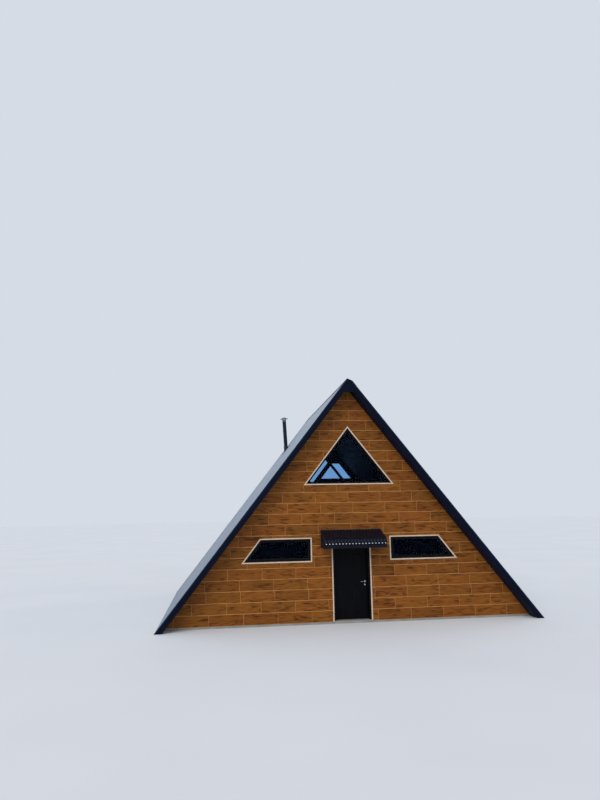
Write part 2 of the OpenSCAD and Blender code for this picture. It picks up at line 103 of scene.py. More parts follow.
@dataclass
class Surface:
    """Points and faces of a piece.

    Attributes:
        points: (n, 3) places in metres.
        faces: arrays of point numbers, (m, k), one array for each count of corners.
        marks: for each name one number a point, which a finish reads as an attribute.
    """

    points: Array
    faces: list[Array]
    marks: dict[str, Array] = field(default_factory=dict)

    def volume(self) -> float:
        """Sum over triangles of a . (b x c) / 6.

        Returns:
            The volume, above zero where the faces point outwards.
        """
        total = 0.0
        middle = self.points.mean(0)
        for ring in self.faces:
            fan = self.points[ring] - middle
            for k in range(1, ring.shape[1] - 1):
                total += float(np.einsum("ij,ij->", fan[:, 0], np.cross(fan[:, k], fan[:, k + 1])))
        return total / 6

    def outward(self) -> "Surface":
        """Turns all faces over where the volume comes out below zero.

        Returns:
            The same surface.
        """
        if self.volume() < 0:
            self.faces = [ring[:, ::-1] for ring in self.faces]
        return self

    def on(self, facing: Facing) -> "Surface":
        """The same shape with its flat coordinates taken to their place on a side."""
        return Surface(facing.world(self.points), self.faces, self.marks).outward()

    def mesh(self, name: str) -> bpy.types.Mesh:
        """Puts the arrays into a mesh, with each mark as a point attribute.

        Args:
            name: the mesh's name.

        Returns:
            The mesh.
        """
        made = bpy.data.meshes.new(name)
        made.vertices.add(len(self.points))
        made.vertices.foreach_set("co", self.points.astype(np.float32).ravel())
        sizes = np.concatenate([np.full(len(ring), ring.shape[1]) for ring in self.faces])
        loops = np.concatenate([ring.ravel() for ring in self.faces])
        made.loops.add(len(loops))
        made.loops.foreach_set("vertex_index", loops.astype(np.int32))
        made.polygons.add(len(sizes))
        made.polygons.foreach_set("loop_start", (np.cumsum(sizes) - sizes).astype(np.int32))
        made.update(calc_edges=True)
        for mark, values in self.marks.items():
            data = made.attributes.new(mark, "FLOAT", "POINT").data
            data.foreach_set("value", values.astype(np.float32))
        return made


def joined(parts: Sequence[Surface]) -> Surface:
    """One surface from several: each part's point numbers move up by the points before it.

    Args:
        parts: the surfaces, all with the same marks.

    Returns:
        The one surface.
    """
    starts = np.cumsum([0] + [len(part.points) for part in parts])
    points = np.concatenate([part.points for part in parts])
    faces = [ring + start for part, start in zip(parts, starts) for ring in part.faces]
    marks = {name: np.concatenate([part.marks[name] for part in parts]) for name in parts[0].marks}
    return Surface(points, faces, marks)


def repeated(one: Surface, places: Array, turns: Array | None = None) -> Surface:
    """Copies of a shape: every point is turned by its copy's matrix and moved to its copy's place.

    Args:
        one: the shape, about its own zero.
        places: (n, 3) places of the copies.
        turns: (n, 3, 3) matrices, or None to leave the copies unturned.

    Returns:
        All the copies as one surface.
    """
    count = len(places)
    if turns is None:
        shape = np.repeat(one.points[None], count, axis=0)
    else:
        shape = np.einsum("nij,kj->nki", turns, one.points)
    steps = (np.arange(count) * len(one.points))[:, None, None]
    faces = [(ring[None] + steps).reshape(-1, ring.shape[1]) for ring in one.faces]
    return Surface((shape + places[:, None]).reshape(-1, 3), faces)


def lattice(grid: Array, ring: bool = False) -> Surface:
    """A grid of points as quads: each row is a closed line, and each row joins the next.

    Args:
        grid: (rows, columns, 3) points.
        ring: the last row joins the first, or else both get a flat end face.

    Returns:
        The closed surface.
    """
    rows, columns = grid.shape[:2]
    near = np.arange(rows * columns).reshape(rows, columns)
    far = np.roll(near, -1, axis=0)
    if not ring:
        near, far = near[:-1], far[:-1]
    quads = np.stack([near, np.roll(near, -1, 1), np.roll(far, -1, 1), far], -1).reshape(-1, 4)
    faces = [quads] if ring else [quads, near[:1, ::-1], far[-1:]]
    return Surface(grid.reshape(-1, 3), faces).outward()


def framed(outline: Callable[[float], Array], profile: Array, ring: bool = True) -> Surface:
    """A moulding round an outline: each (inset, out) of its section runs along the outline taken in by inset.

    Args:
        outline: gives the (corners, 2) outline for an inset, so that the corners are mitred.
        profile: (m, 2) closed section, as inset from the outline and height over the side.
        ring: the outline closes on itself.

    Returns:
        The moulding in flat coordinates.
    """
    corners = [outline(inset) for inset in profile[:, 0]]
    lines = [np.column_stack([line, np.full(len(line), out)]) for line, out in zip(corners, profile[:, 1])]
    return lattice(np.stack(lines, 1), ring)


def revolved(profile: Array, sides: int) -> Surface:
    """A turned piece: each (radius, height) goes round the third axis, and flat faces close both ends.

    Args:
        profile: (m, 2) radii, none of them zero, and heights.
        sides: the count of points in a circle.

    Returns:
        The turned surface.
    """
    turn = np.arange(sides) * 2 * np.pi / sides
    radius, height = profile[:, :1], np.repeat(profile[:, 1:], sides, 1)
    return lattice(np.stack([radius * np.cos(turn), radius * np.sin(turn), height], -1))


def plate(corners: Array, low: float, high: float) -> Surface:
    """A flat plate: its corners once at each of two heights."""
    return lattice(np.stack([np.column_stack([corners, np.full(len(corners), out)]) for out in (low, high)]))


def screw_head(radius: float, height: float) -> Surface:
    """An eight-sided screw with its washer: a flat disc, then a low dome, as shares of radius and height."""
    shares = np.array([(1.0, 0.0), (1.0, 0.15), (0.6, 0.35), (0.55, 0.8), (0.3, 1.0)])
    return revolved(shares * (radius, height), sides=8)


def trim_section(width: float) -> Array:
    """Section of a rounded trim 26 mm thick: soft outer edge, flat face, then a step down on the inner edge.

    Args:
        width: its width in millimetres.

    Returns:
        (9, 2) insets and heights in metres.
    """
    outer = [(0, 0), (0, 21), (1.2, 24.6), (4.6, 26)]
    inner = [(11, 26), (6, 24.8), (3, 21), (0, 19.5), (0, 0)]
    return np.array(outer + [(width - back, out) for back, out in inner]) * MM


def glazing_sections(edge: float, reach: float) -> tuple[Array, Array]:
    """Sections of the bead that holds a pane and of the seal inside it, both on the pane's outer face.

    Args:
        edge: inset of the frame's inner edge in millimetres.
        reach: how far the bead stands in over the pane in millimetres.

    Returns:
        Insets and heights in metres of the bead and of the seal.
    """
    end = edge + reach
    bead = [
        (edge - 2, -43), (edge - 2, -29), (edge + 1, -27.5), (edge + reach / 2 + 0.25, -30),
        (end - 1.5, -35), (end, -43),
    ]
    seal = [(end, -43), (end, -40.5), (end + 3, -41), (end + 3.5, -43)]
    return np.array(bead) * MM, np.array(seal) * MM


# Main lines


@dataclass(frozen=True)
class Edge:
    """A straight edge on a side: along = at + lean * up.

    Attributes:
        at: its place along the side at the ground.
        lean: how far along it goes for each metre up.
        joint: the share of a level joint's width that a tile gives up along it.
    """

    at: float
    lean: float = 0.0
    joint: float = 0.0

    def along(self, up: float) -> float:
        """Place along the side at a height."""
        return self.at + self.lean * up

    def moved(self, by: float) -> "Edge":
        """The edge moved square to itself: its place changes by the distance over the lean's cosine."""
        return Edge(self.at + by * math.hypot(1, self.lean), self.lean, self.joint)

    def mirrored(self) -> "Edge":
        """The same edge on the other side of the middle."""
        return Edge(-self.at, -self.lean)


@dataclass(frozen=True)
class Opening:
    """A hole between two heights and two straight edges, which may meet under its top.

    Attributes:
        low: height of its foot.
        high: height of its top.
        left: its left edge.
        right: its right edge.
    """

    low: float
    high: float
    left: Edge
    right: Edge

    @classmethod
    def even(cls, low: float, high: float, right: Edge) -> "Opening":
        """A hole that is the same on both sides of the middle, from its right edge."""
        return cls(low, high, right.mirrored(), right)

    def mirrored(self) -> "Opening":
        """The same hole on the other side of the middle."""
        return Opening(self.low, self.high, self.right.mirrored(), self.left.mirrored())

    def outline(self, inset: float) -> Array:
        """The corners where the heights and edges, each moved in by an inset, cross.

        Args:
            inset: how far the outline is taken in.

        Returns:
            (4, 2) corners, or (3, 2) where the edges meet under the top.
        """
        left, right = self.left.moved(inset), self.right.moved(-inset)
        low, high = self.low + inset, self.high - inset
        closing = left.lean - right.lean
        meet = (right.at - left.at) / closing if closing > 0 else math.inf
        corners = [(left.along(low), low), (right.along(low), low)]
        if meet <= high:
            return np.array(corners + [(left.along(meet), meet)])
        return np.array(corners + [(right.along(high), high), (left.along(high), high)])


@dataclass(frozen=True)
class Shell:
    """The cabin's main lines in metres, as in its CAD source.

    Attributes:
        half_base: half the width over the roof panels' outer faces at the ground.
        ridge: height at which those faces meet.
        soffit_depth: depth of the soffits' lower faces under them.
        rib_height: height of the sheets' ribs over them.
        glass_out: place of the panes' middle behind the walls' faces.
        glass_half: half the panes' thickness.
        front: place of the front wall's face.
        back: place of the back wall's face.
        rake_front: place of the front barge boards' face.
        rake_back: place of the back barge boards' face.
    """

    half_base: float = 5.43
    ridge: float = 6.96
    soffit_depth: float = 0.135
    rib_height: float = 0.03
    glass_out: float = -0.055
    glass_half: float = 0.012
    front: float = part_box("front_wall_upper")[0].y
    back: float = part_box("back_wall_upper")[1].y
    rake_front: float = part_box("front_fascia_left")[0].y
    rake_back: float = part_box("back_fascia_left")[1].y

    @property
    def lean(self) -> float:
        """How far a slope goes in for each metre up."""
        return self.half_base / self.ridge

    @property
    def slope(self) -> float:
        """The slopes' angle in radians."""
        return math.atan2(self.ridge, self.half_base)

    @property
    def slope_length(self) -> float:
        """Length of a slope's outer line from foot to ridge."""
        return math.hypot(self.half_base, self.ridge)

    def gabled(self, peak: float, low: float = 0.0, high: float = math.inf) -> Opening:
        """The triangle under a peak with the roof's slopes, cut off at two heights."""
        return Opening.even(low, high, Edge(peak * self.lean, -self.lean))

    def under_roof(self, depth: float, low: float = 0.0, high: float = math.inf) -> Opening:
        """The triangle whose sides lie a depth under the roof's outer faces, cut off at two heights."""
        return self.gabled(self.ridge - depth / math.cos(self.slope), low, high)

    def facing(self, side: Side) -> Facing:
        """The facing of a gable wall or of a slope's outer face.

        Args:
            side: which side.

        Returns:
            Its facing, with zero at the ground.
        """
        c, s = math.cos(self.slope), math.sin(self.slope)
        return {
            Side.FRONT: Facing((0, self.front, 0), (1, 0, 0), (0, 0, 1), (0, -1, 0)),
            Side.BACK: Facing((0, self.back, 0), (-1, 0, 0), (0, 0, 1), (0, 1, 0)),
            Side.LEFT: Facing((-self.half_base, 0, 0), (0, -1, 0), (c, 0, s), (-s, 0, c)),
            Side.RIGHT: Facing((self.half_base, 0, 0), (0, 1, 0), (-c, 0, s), (s, 0, c)),
        }[side]


SHELL = Shell()


# Finishes


def linear(code: str) -> tuple[float, ...]:
    """An sRGB value as linear light: over 12.92 where dark, else ((value + 0.055) / 1.055) to the power 2.4.

    Args:
        code: the colour as a hex value.

    Returns:
        Linear red, green and blue, and an alpha of 1.
    """
    part = np.array([int(code[k : k + 2], 16) for k in (1, 3, 5)]) / 255
    flat = np.where(part <= 0.04045, part / 12.92, ((part + 0.055) / 1.055) ** 2.4)
    return (*flat.tolist(), 1.0)


def add(tree: Tree, kind: str, inputs: dict[str | int, object], **settings: object) -> bpy.types.Node:
    """Adds a node with its settings, values and links.

    Args:
        tree: the material's or the world's nodes.
        kind: the node's type without its ShaderNode prefix.
        inputs: for each input's name or number a value, a socket, or a node whose first output is linked.
        settings: the node's own settings.

    Returns:
        The node.
    """
    made = tree.nodes.new("ShaderNode" + kind)
    for name, value in settings.items():
        setattr(made, name, value)
    for name, value in inputs.items():
        if isinstance(value, bpy.types.Node):
            value = value.outputs[0]
        if isinstance(value, Socket):
            tree.links.new(value, made.inputs[name])
        else:
            made.inputs[name].default_value = value
    return made


@dataclass(frozen=True)
class Pattern:
    """Soft patches, drawn out along one direction to make grain, streaks or cloud.

    Attributes:
        size: the patches' length in millimetres along each of the turned axes.
        low: noise value that counts as 0.
        high: noise value that counts as 1.
        detail: how many finer layers are added.
        warp: how far the patches are bent out of line.
        folds: how often the range is folded back and forth, for lines like those of a contour map.
        turn: the axes' turn in radians.
    """

    size: Triple
    low: float = 0.35
    high: float = 0.65
    detail: float = 3.0
    warp: float = 0.0
    folds: float = 1.0
    turn: Triple = (0.0, 0.0, 0.0)

    def value(self, tree: Tree, place: Socket) -> Socket:
        """Place over patch size goes into noise, whose middle range is spread over 0 to the folds and folded.

        Args:
            tree: the material's nodes.
            place: the surface's own coordinates.

        Returns:
            The patches' strength, from 0 to 1.
        """
        turned = {"Rotation": self.turn, "Scale": [length * MM for length in self.size]}
        over = add(tree, "Mapping", {"Vector": place, **turned}, vector_type="TEXTURE")
        finer = {"Scale": 1.0, "Detail": self.detail, "Distortion": self.warp}
        noise = add(tree, "TexNoise", {"Vector": over, **finer})
        limits = {"From Min": self.low, "From Max": self.high, "To Max": self.folds}
        spread = add(tree, "MapRange", {"Value": noise, **limits})
        return add(tree, "Math", {0: spread, 1: 1.0}, operation="PINGPONG").outputs[0]


def cloud(size: float) -> Pattern:
    """Patches of the same size each way, in millimetres."""
    return Pattern((size, size, size))


@dataclass(frozen=True)
class Finish:
    """What all finishes share: a ground colour, a tone that patches bring in, and a grain.

    Attributes:
        name: the material's name.
        slot: the record's material slot; not used.
        ground: the main colour.
        tone: the colour of the patches.
        share: how much of the tone shows at full strength.
        patches: where the tone shows.
        grain: a finer pattern for the relief and the roughness.
        relief: depth of the relief in millimetres.
        rough: roughness at the grain's low and high end.
        metallic: how metallic the surface is.
        gloss: level of the surface's own reflection, 0.5 for most materials and less where it is dulled.
    """

    name: str
    slot: str
    ground: str
    tone: str
    share: float = 0.5
    patches: Pattern = cloud(400)
    grain: Pattern = cloud(12)
    relief: float = 0.3
    rough: Pair = (0.5, 0.6)
    metallic: float = 0.0
    gloss: float = 0.5

    def material(self) -> Material:
        """The finish's material, built at its first use."""
        return bpy.data.materials.get(self.name) or self.build()

    def colour(self, tree: Tree, place: Socket) -> Socket:
        """The ground colour with the tone mixed in by the patches.

        Args:
            tree: the material's nodes.
            place: the surface's own coordinates.

        Returns:
            The colour.
        """
        weight = add(tree, "Math", {0: self.patches.value(tree, place), 1: self.share}, operation="MULTIPLY")
        colours = {6: linear(self.ground), 7: linear(self.tone)}
        return add(tree, "Mix", {0: weight, **colours}, data_type="RGBA").outputs[2]

    def height(self, tree: Tree, place: Socket) -> Socket:
        """The relief's height, from 0 to 1."""
        return self.grain.value(tree, place)

    def build(self) -> Material:
        """Colour from the patches, and relief and roughness from the grain.

        Returns:
            The new material.
        """
        made = bpy.data.materials.new(self.name)
        made.use_nodes = True
        tree = made.node_tree
        shader = tree.nodes["Principled BSDF"]
        place = add(tree, "TexCoord", {}).outputs["Object"]
        height = self.height(tree, place)
        rough = add(tree, "MapRange", {"Value": height, "To Min": self.rough[0], "To Max": self.rough[1]})
        bump = add(tree, "Bump", {"Height": height, "Distance": self.relief * MM})
        tree.links.new(self.colour(tree, place), shader.inputs["Base Color"])
        tree.links.new(rough.outputs[0], shader.inputs["Roughness"])
        tree.links.new(bump.outputs[0], shader.inputs["Normal"])
        shader.inputs["Metallic"].default_value = self.metallic
        shader.inputs["Specular IOR Level"].default_value = self.gloss
        return made


@dataclass(frozen=True)
class PlankTile(Finish):
    """Glazed porcelain tile printed as wood.

    Attributes:
        light: colour of the pale streaks.
        figure: the arched lines of flat-sawn oak, drawn 25 mm apart or more so that they show.
        sharpness: the power that narrows those lines.
        places: where on a tile the figure is strong.
        faintest: how much of the figure is left elsewhere.
        streaks: the thin streaks between its lines.
        streak_share: how much of the dark tone the streaks bring in.
        shift: how far the figure moves, in metres, from a tile with number 0 to one with number 1.
        brightness: from the darkest tile to the palest.
        hues: from the reddest tile to the yellowest, where 0.5 leaves the hue as it is.
    """

    light: str = "#A4652B"
    figure: Pattern = Pattern((900, 300, 125), 0.3, 0.7, 1.5, 0.35, 5.0)
    sharpness: float = 2.2
    places: Pattern = Pattern((340, 300, 120), 0.42, 0.6, 1.0)
    faintest: float = 0.14
    streaks: Pattern = Pattern((240, 60, 14), 0.4, 0.66, 3.0, 0.4)
    streak_share: float = 0.42
    shift: Triple = (37.0, 11.0, 5.3)
    brightness: Pair = (0.84, 1.1)
    hues: Pair = (0.499, 0.507)

    def shifted(self, tree: Tree, place: Socket) -> Socket:
        """Place moved far along by the tile's own number, so that no two tiles share a figure.

        Args:
            tree: the material's nodes.
            place: the surface's own coordinates.

        Returns:
            The moved place.
        """
        number = add(tree, "Attribute", {}, attribute_name="tile").outputs["Fac"]
        jump = add(tree, "CombineXYZ", {0: number, 1: number, 2: number})
        moved = {0: jump, 1: self.shift, 2: place}
        return add(tree, "VectorMath", moved, operation="MULTIPLY_ADD").outputs[0]

    def own(self, tree: Tree, mark: str, ends: Pair) -> bpy.types.Node:
        """A tile's own value between two ends.

        Args:
            tree: the material's nodes.
            mark: the attribute that says how far between them.
            ends: the values for 0 and 1.

        Returns:
            The node that gives the value.
        """
        share = add(tree, "Attribute", {}, attribute_name=mark).outputs["Fac"]
        return add(tree, "MapRange", {"Value": share, "To Min": ends[0], "To Max": ends[1]})

    def colour(self, tree: Tree, place: Socket) -> Socket:
        """Ground, dark tone by figure and streaks, pale streaks, then the tile's own hue and brightness.

        Args:
            tree: the material's nodes.
            place: the surface's own coordinates.

        Returns:
            The colour.
        """
        moved = self.shifted(tree, place)
        line = add(tree, "Math", {0: self.figure.value(tree, moved), 1: self.sharpness}, operation="POWER")
        where = add(tree, "MapRange", {"Value": self.places.value(tree, moved), "To Min": self.faintest})
        drawn = add(tree, "Math", {0: line, 1: where}, operation="MULTIPLY")
        streaks = {0: self.streaks.value(tree, moved), 1: self.streak_share}
        half = add(tree, "Math", {**streaks, 2: drawn}, operation="MULTIPLY_ADD", use_clamp=True)
        printed = {6: linear(self.ground), 7: linear(self.tone)}
        dark = add(tree, "Mix", {0: half, **printed}, data_type="RGBA").outputs[2]
        pale = add(tree, "Math", {0: self.patches.value(tree, moved), 1: self.share}, operation="MULTIPLY")
        wood = add(tree, "Mix", {0: pale, 6: dark, 7: linear(self.light)}, data_type="RGBA").outputs[2]
        hue, level = self.own(tree, "tile", self.hues), self.own(tree, "tone", self.brightness)
        return add(tree, "HueSaturation", {"Hue": hue, "Value": level, "Color": wood}).outputs[0]

    def height(self, tree: Tree, place: Socket) -> Socket:
        """The relief follows the printed streaks, as on a pressed tile."""
        return self.streaks.value(tree, self.shifted(tree, place))


@dataclass(frozen=True)
class Boards(Finish):
    """Boards laid side by side, with a dark sunk joint between them.

    Attributes:
        width: width of a board in millimetres.
        joint: width of the joint in millimetres.
        across: direction across the boards.
        shade: brightness left in a joint.
        depth: depth of a joint, as a multiple of the relief.
    """

    width: float = 120.0
    joint: float = 5.0
    across: Triple = (0.0, 0.0, 1.0)
    shade: float = 0.35
    depth: float = 4.0

    def board(self, tree: Tree, place: Socket) -> Socket:
        """The distance to the nearest joint's middle, over half a joint's width.

        Args:
            tree: the material's nodes.
            place: the surface's own coordinates.

        Returns:
            0 in the middle of a joint and 1 on a board.
        """
        run = add(tree, "VectorMath", {0: place, 1: self.across}, operation="DOT_PRODUCT").outputs["Value"]
        tooth = add(tree, "Math", {0: run, 1: self.width / 2 * MM}, operation="PINGPONG")
        return add(tree, "MapRange", {"Value": tooth, "From Max": self.joint / 2 * MM}).outputs[0]

    def colour(self, tree: Tree, place: Socket) -> Socket:
        """The boards' colour, darker in the joints."""
        level = add(tree, "MapRange", {"Value": self.board(tree, place), "To Min": self.shade})
        return add(tree, "HueSaturation", {"Value": level, "Color": super().colour(tree, place)}).outputs[0]

    def height(self, tree: Tree, place: Socket) -> Socket:
        """The boards stand over the joints by their depth, and the grain is added."""
        raised = {0: self.board(tree, place), 1: self.depth, 2: self.grain.value(tree, place)}
        return add(tree, "Math", raised, operation="MULTIPLY_ADD").outputs[0]


@dataclass(frozen=True)
class Glazing(Finish):
    """Sealed double glazing, with dust that dulls it in soft patches.

    Attributes:
        ior: how strongly the glass bends light.
        mirrored: the tint of its reflection.
    """

    ior: float = 1.5
    mirrored: str = "#3E4A66"

    def build(self) -> Material:
        """A transmitting shader tinted by the patches.

        Returns:
            The new material.
        """
        made = super().build()
        inputs = made.node_tree.nodes["Principled BSDF"].inputs
        inputs["Transmission Weight"].default_value = 1.0
        inputs["IOR"].default_value = self.ior
        inputs["Specular Tint"].default_value = linear(self.mirrored)
        return made


def on_slopes(flat: Finish) -> dict[Side, Finish]:
    """A finish for each slope, with its patterns turned to run up that slope.

    Args:
        flat: the finish, with patterns drawn out along X.

    Returns:
        The left and the right slope's finish.
    """
    made = {}
    for side, angle in ((Side.LEFT, -SHELL.slope), (Side.RIGHT, SHELL.slope)):
        patches, grain = (replace(pattern, turn=(0, angle, 0)) for pattern in (flat.patches, flat.grain))
        made[side] = replace(flat, name=f"{flat.name}_{side.value}", patches=patches, grain=grain)
    return made


# Porcelain tile printed as oak: warm brown with dark arched figure and a soft glaze.
PLANK_TILE = PlankTile(
    "porcelain_plank", "cladding", "#864E1B", "#4C2608", 0.3, Pattern((420, 70, 22), 0.5, 0.75),
    relief=0.5, rough=(0.4, 0.54), gloss=0.12,
)
# Cement joint mortar: paler than the tiles, matt and sandy.
JOINT_MORTAR = Finish(
    "joint_mortar", "cladding", "#CC955A", "#A8733C", grain=cloud(4), relief=0.6, rough=(0.85, 0.95),
    gloss=0.2,
)
# Planed pine boards on the inside faces: pale, with brown grain.
PINE_LINING = Boards(
    "pine_lining", "cladding", "#8A6640", "#6B4A2A", patches=Pattern((900, 900, 30)),
    grain=Pattern((300, 300, 6)), relief=0.4, rough=(0.5, 0.65), width=110, joint=6,
)
# The same boards under the roof panels: their width is measured up the slope.
PINE_DECK = Boards(
    "pine_roof_deck", "roof_deck", "#80603F", "#5F4428", patches=Pattern((30, 900, 30)),
    grain=Pattern((6, 300, 6)), relief=0.4, rough=(0.5, 0.65), width=110, joint=6,
    across=(0.0, 0.0, 1 / math.sin(SHELL.slope)),
)
# Oiled pine floor boards: browner, with a little more sheen.
PINE_FLOOR = Boards(
    "pine_floor", "loft_boards", "#7A5634", "#573A20", patches=Pattern((30, 900, 30)),
    grain=Pattern((6, 300, 6)), relief=0.4, rough=(0.4, 0.55), width=120, joint=4, across=(1.0, 0.0, 0.0),
)
# Coil-coated trapezoid steel: satin blue-grey with faint rain streaks down the slope.
SHEETS = on_slopes(Finish(
    "coil_coated_steel", "roof_sheet", "#848F9C", "#697583", patches=Pattern((1800, 60, 60)),
    grain=Pattern((900, 30, 30)), relief=0.15, rough=(0.32, 0.46), metallic=0.25,
))
# Brush-painted timber barge boards: near-black navy, with grain that shows through the paint.
RAKE_BOARDS = on_slopes(Finish(
    "painted_barge_board", "rake_board", "#030919", "#08122A", patches=Pattern((700, 60, 60)),
    grain=Pattern((260, 5, 5)), relief=0.4, rough=(0.45, 0.6), gloss=0.07,
))
# Tongued soffit boards: dark navy stain.
SOFFIT_BOARDS = Boards(
    "stained_soffit_boards", "rake_board", "#0B1228", "#121E3A", grain=Pattern((90, 6, 90)), relief=0.5,
    rough=(0.5, 0.65), gloss=0.12, width=86, joint=6, across=(0.0, 1.0, 0.0),
)
# Folded steel edge trim: dark blue satin coating.
EDGE_TRIM = Finish(
    "folded_edge_trim", "rake_trim", "#0B1E3C", "#08162E", grain=cloud(60), relief=0.2, rough=(0.32, 0.44),
    gloss=0.15,
)
# Cast stone-effect trim: cream, slightly mottled, matt.
CREAM_TRIM = Finish(
    "cream_cast_trim", "window_trim", "#D3BDA6", "#B79F87", patches=cloud(140), grain=cloud(7), relief=0.4,
    rough=(0.6, 0.75),
)
# Foiled PVC sections: anthracite with a faint wood grain.
PVC_FRAME = Finish(
    "anthracite_pvc_foil", "window_frame", "#08090C", "#0F1115", patches=cloud(200),
    grain=Pattern((60, 4, 60)), relief=0.12, rough=(0.34, 0.46), gloss=0.07,
)
# Float glass with a blue tint: clear against the light, near-black in front of a dark room.
GLASS = Glazing(
    "tinted_double_glazing", "window_glass", "#B4D4F1", "#A6C7E7", 0.4, grain=cloud(500), relief=0.02,
    rough=(0.0, 0.02),
)
# Floated concrete: grey, cloudy, with fine sand.
CONCRETE = Finish(
    "floated_concrete", "slab", "#93918B", "#76736C", patches=cloud(300), grain=cloud(3), relief=0.5,
    rough=(0.75, 0.9),
)
# Painted timber door: near-black with a blue cast, brush lines upright.
DOOR_PAINT = Finish(
    "painted_door", "door_paint", "#050509", "#0A0B11", patches=Pattern((60, 60, 400)),
    grain=Pattern((4, 4, 180)), relief=0.25, rough=(0.36, 0.5), gloss=0.07,
)
# Brushed stainless steel: fine lines along the lever.
BRUSHED_STEEL = Finish(
    "brushed_steel", "door_metal", "#B9BCC0", "#9C9FA4", grain=Pattern((60, 1.5, 1.5)), relief=0.03,
    rough=(0.24, 0.36), metallic=1.0,
)
# Honed stone threshold: grey with soft clouds.
HONED_STONE = Finish(
    "honed_stone", "threshold", "#8B8783", "#6E6A66", patches=cloud(70), grain=cloud(5), relief=0.2,
    rough=(0.45, 0.6),
)
# Tile-pressed steel canopy sheet: near-black slate blue with a gloss coating.
CANOPY_SHEET = Finish(
    "tile_pressed_steel", "canopy_tile", "#0A0D17", "#141A2C", patches=Pattern((120, 60, 60)),
    grain=cloud(20), relief=0.15, rough=(0.28, 0.4), gloss=0.1,
)
# Stained boards and brackets under the canopy: near-black, with joints along the boards.
CANOPY_BOARDS = Boards(
    "stained_canopy_boards", "canopy_tile", "#0B0E18", "#151A28", grain=Pattern((6, 200, 6)), relief=0.4,
    rough=(0.5, 0.65), gloss=0.12, width=95, joint=4, across=(1.0, 0.0, 0.0),
)
# Vitreous enamelled flue: blue-black with a dull gloss.
FLUE_ENAMEL = Finish(
    "stove_enamel", "flue_black", "#151A29", "#1E2840", patches=Pattern((80, 80, 300)), grain=cloud(14),
    relief=0.12, rough=(0.4, 0.52), gloss=0.15,
)
# Galvanised steel: blue-grey spangle.
GALVANISED = Finish(
    "galvanised_steel", "flue_steel", "#6E7F92", "#55667A", 0.7, cloud(14), cloud(9), relief=0.05,
    rough=(0.3, 0.42), metallic=0.8,
)
# Bitumen-coated flashing: dull charcoal.
FLASHING_COAT = Finish(
    "bitumen_coated_flashing", "flue_steel", "#24272E", "#33373F", patches=cloud(60), grain=cloud(6),
    relief=0.3, rough=(0.6, 0.75), gloss=0.3,
)
# Synthetic rubber: matt black.
RUBBER = Finish(
    "seal_rubber", "window_frame", "#0F0F11", "#19191C", grain=cloud(3), relief=0.1, rough=(0.75, 0.85),
)
# Zinc-plated screw heads with washers: bright grey, slightly dulled.
ZINC = Finish(
    "zinc_plate", "roof_sheet", "#B4BAC2", "#979DA6", patches=cloud(20), grain=cloud(3), relief=0.03,
    rough=(0.3, 0.45), metallic=0.7,
)
# Screw caps, white: a painted highlight standing in for the glints at the waves' lower ends along the
# canopy's lip; bright, slightly satin.
GLINT_WHITE_CAP = Finish(
    "white_cap_painted_glint", "roof_sheet", "#DDE1E8", "#C5CAD3", patches=cloud(20), grain=cloud(3), relief=0.03,
    rough=(0.4, 0.5),
)
# Painted screed of the studio floor: pale and matt.
PALE_FLOOR = Finish(
    "pale_floor", "", "#D9DCE0", "#D2D6DB", patches=cloud(4000), grain=cloud(300), relief=0.1,
    rough=(0.9, 0.95),
)


def dress(
    name: str, shapes: Sequence[Surface], finish: Finish, facing: Facing | None = None,
    body: Body = Body.CABIN, stands_for: Sequence[str] = (), smooth: float = 0.0,
) -> None:
    """Makes shapes one piece of the cabin.

    Args:
        name: the piece's name.
        shapes: its surfaces.
        finish: its finish.
        facing: the side that they are laid out on, or None where they stand in the cabin's frame.
        body: the body that it rides on.
        stands_for: the CAD nodes that it takes the place of.
        smooth: faces that meet within this many degrees are shaded as one, or 0 for flat faces.
    """
    surface = joined([shape.on(facing) if facing else shape for shape in shapes])
    made = bpy.data.objects.new(name, surface.mesh(name))
    bpy.context.scene.collection.objects.link(made)
    made.data.materials.append(finish.material())
    made.data.polygons.foreach_set("use_smooth", np.full(len(made.data.polygons), smooth > 0))
    if smooth:
        made.data.set_sharp_from_angle(angle=math.radians(smooth))
    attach(made, body.value)
    if stands_for:
        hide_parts(*stands_for)
    log.info("%s: %d points, %d faces, %s", name, len(surface.points), len(made.data.polygons), finish.name)


def finish_nodes(finish: Finish, *names: str) -> None:
    """Gives CAD nodes their finish.

    Args:
        finish: the finish.
        names: the nodes' names.
    """
    for name in names:
        mesh = frame["nodes"][name].data
        mesh.materials.clear()
        mesh.materials.append(finish.material())
        log.info("%s: %s", name, finish.name)


# Gable walls


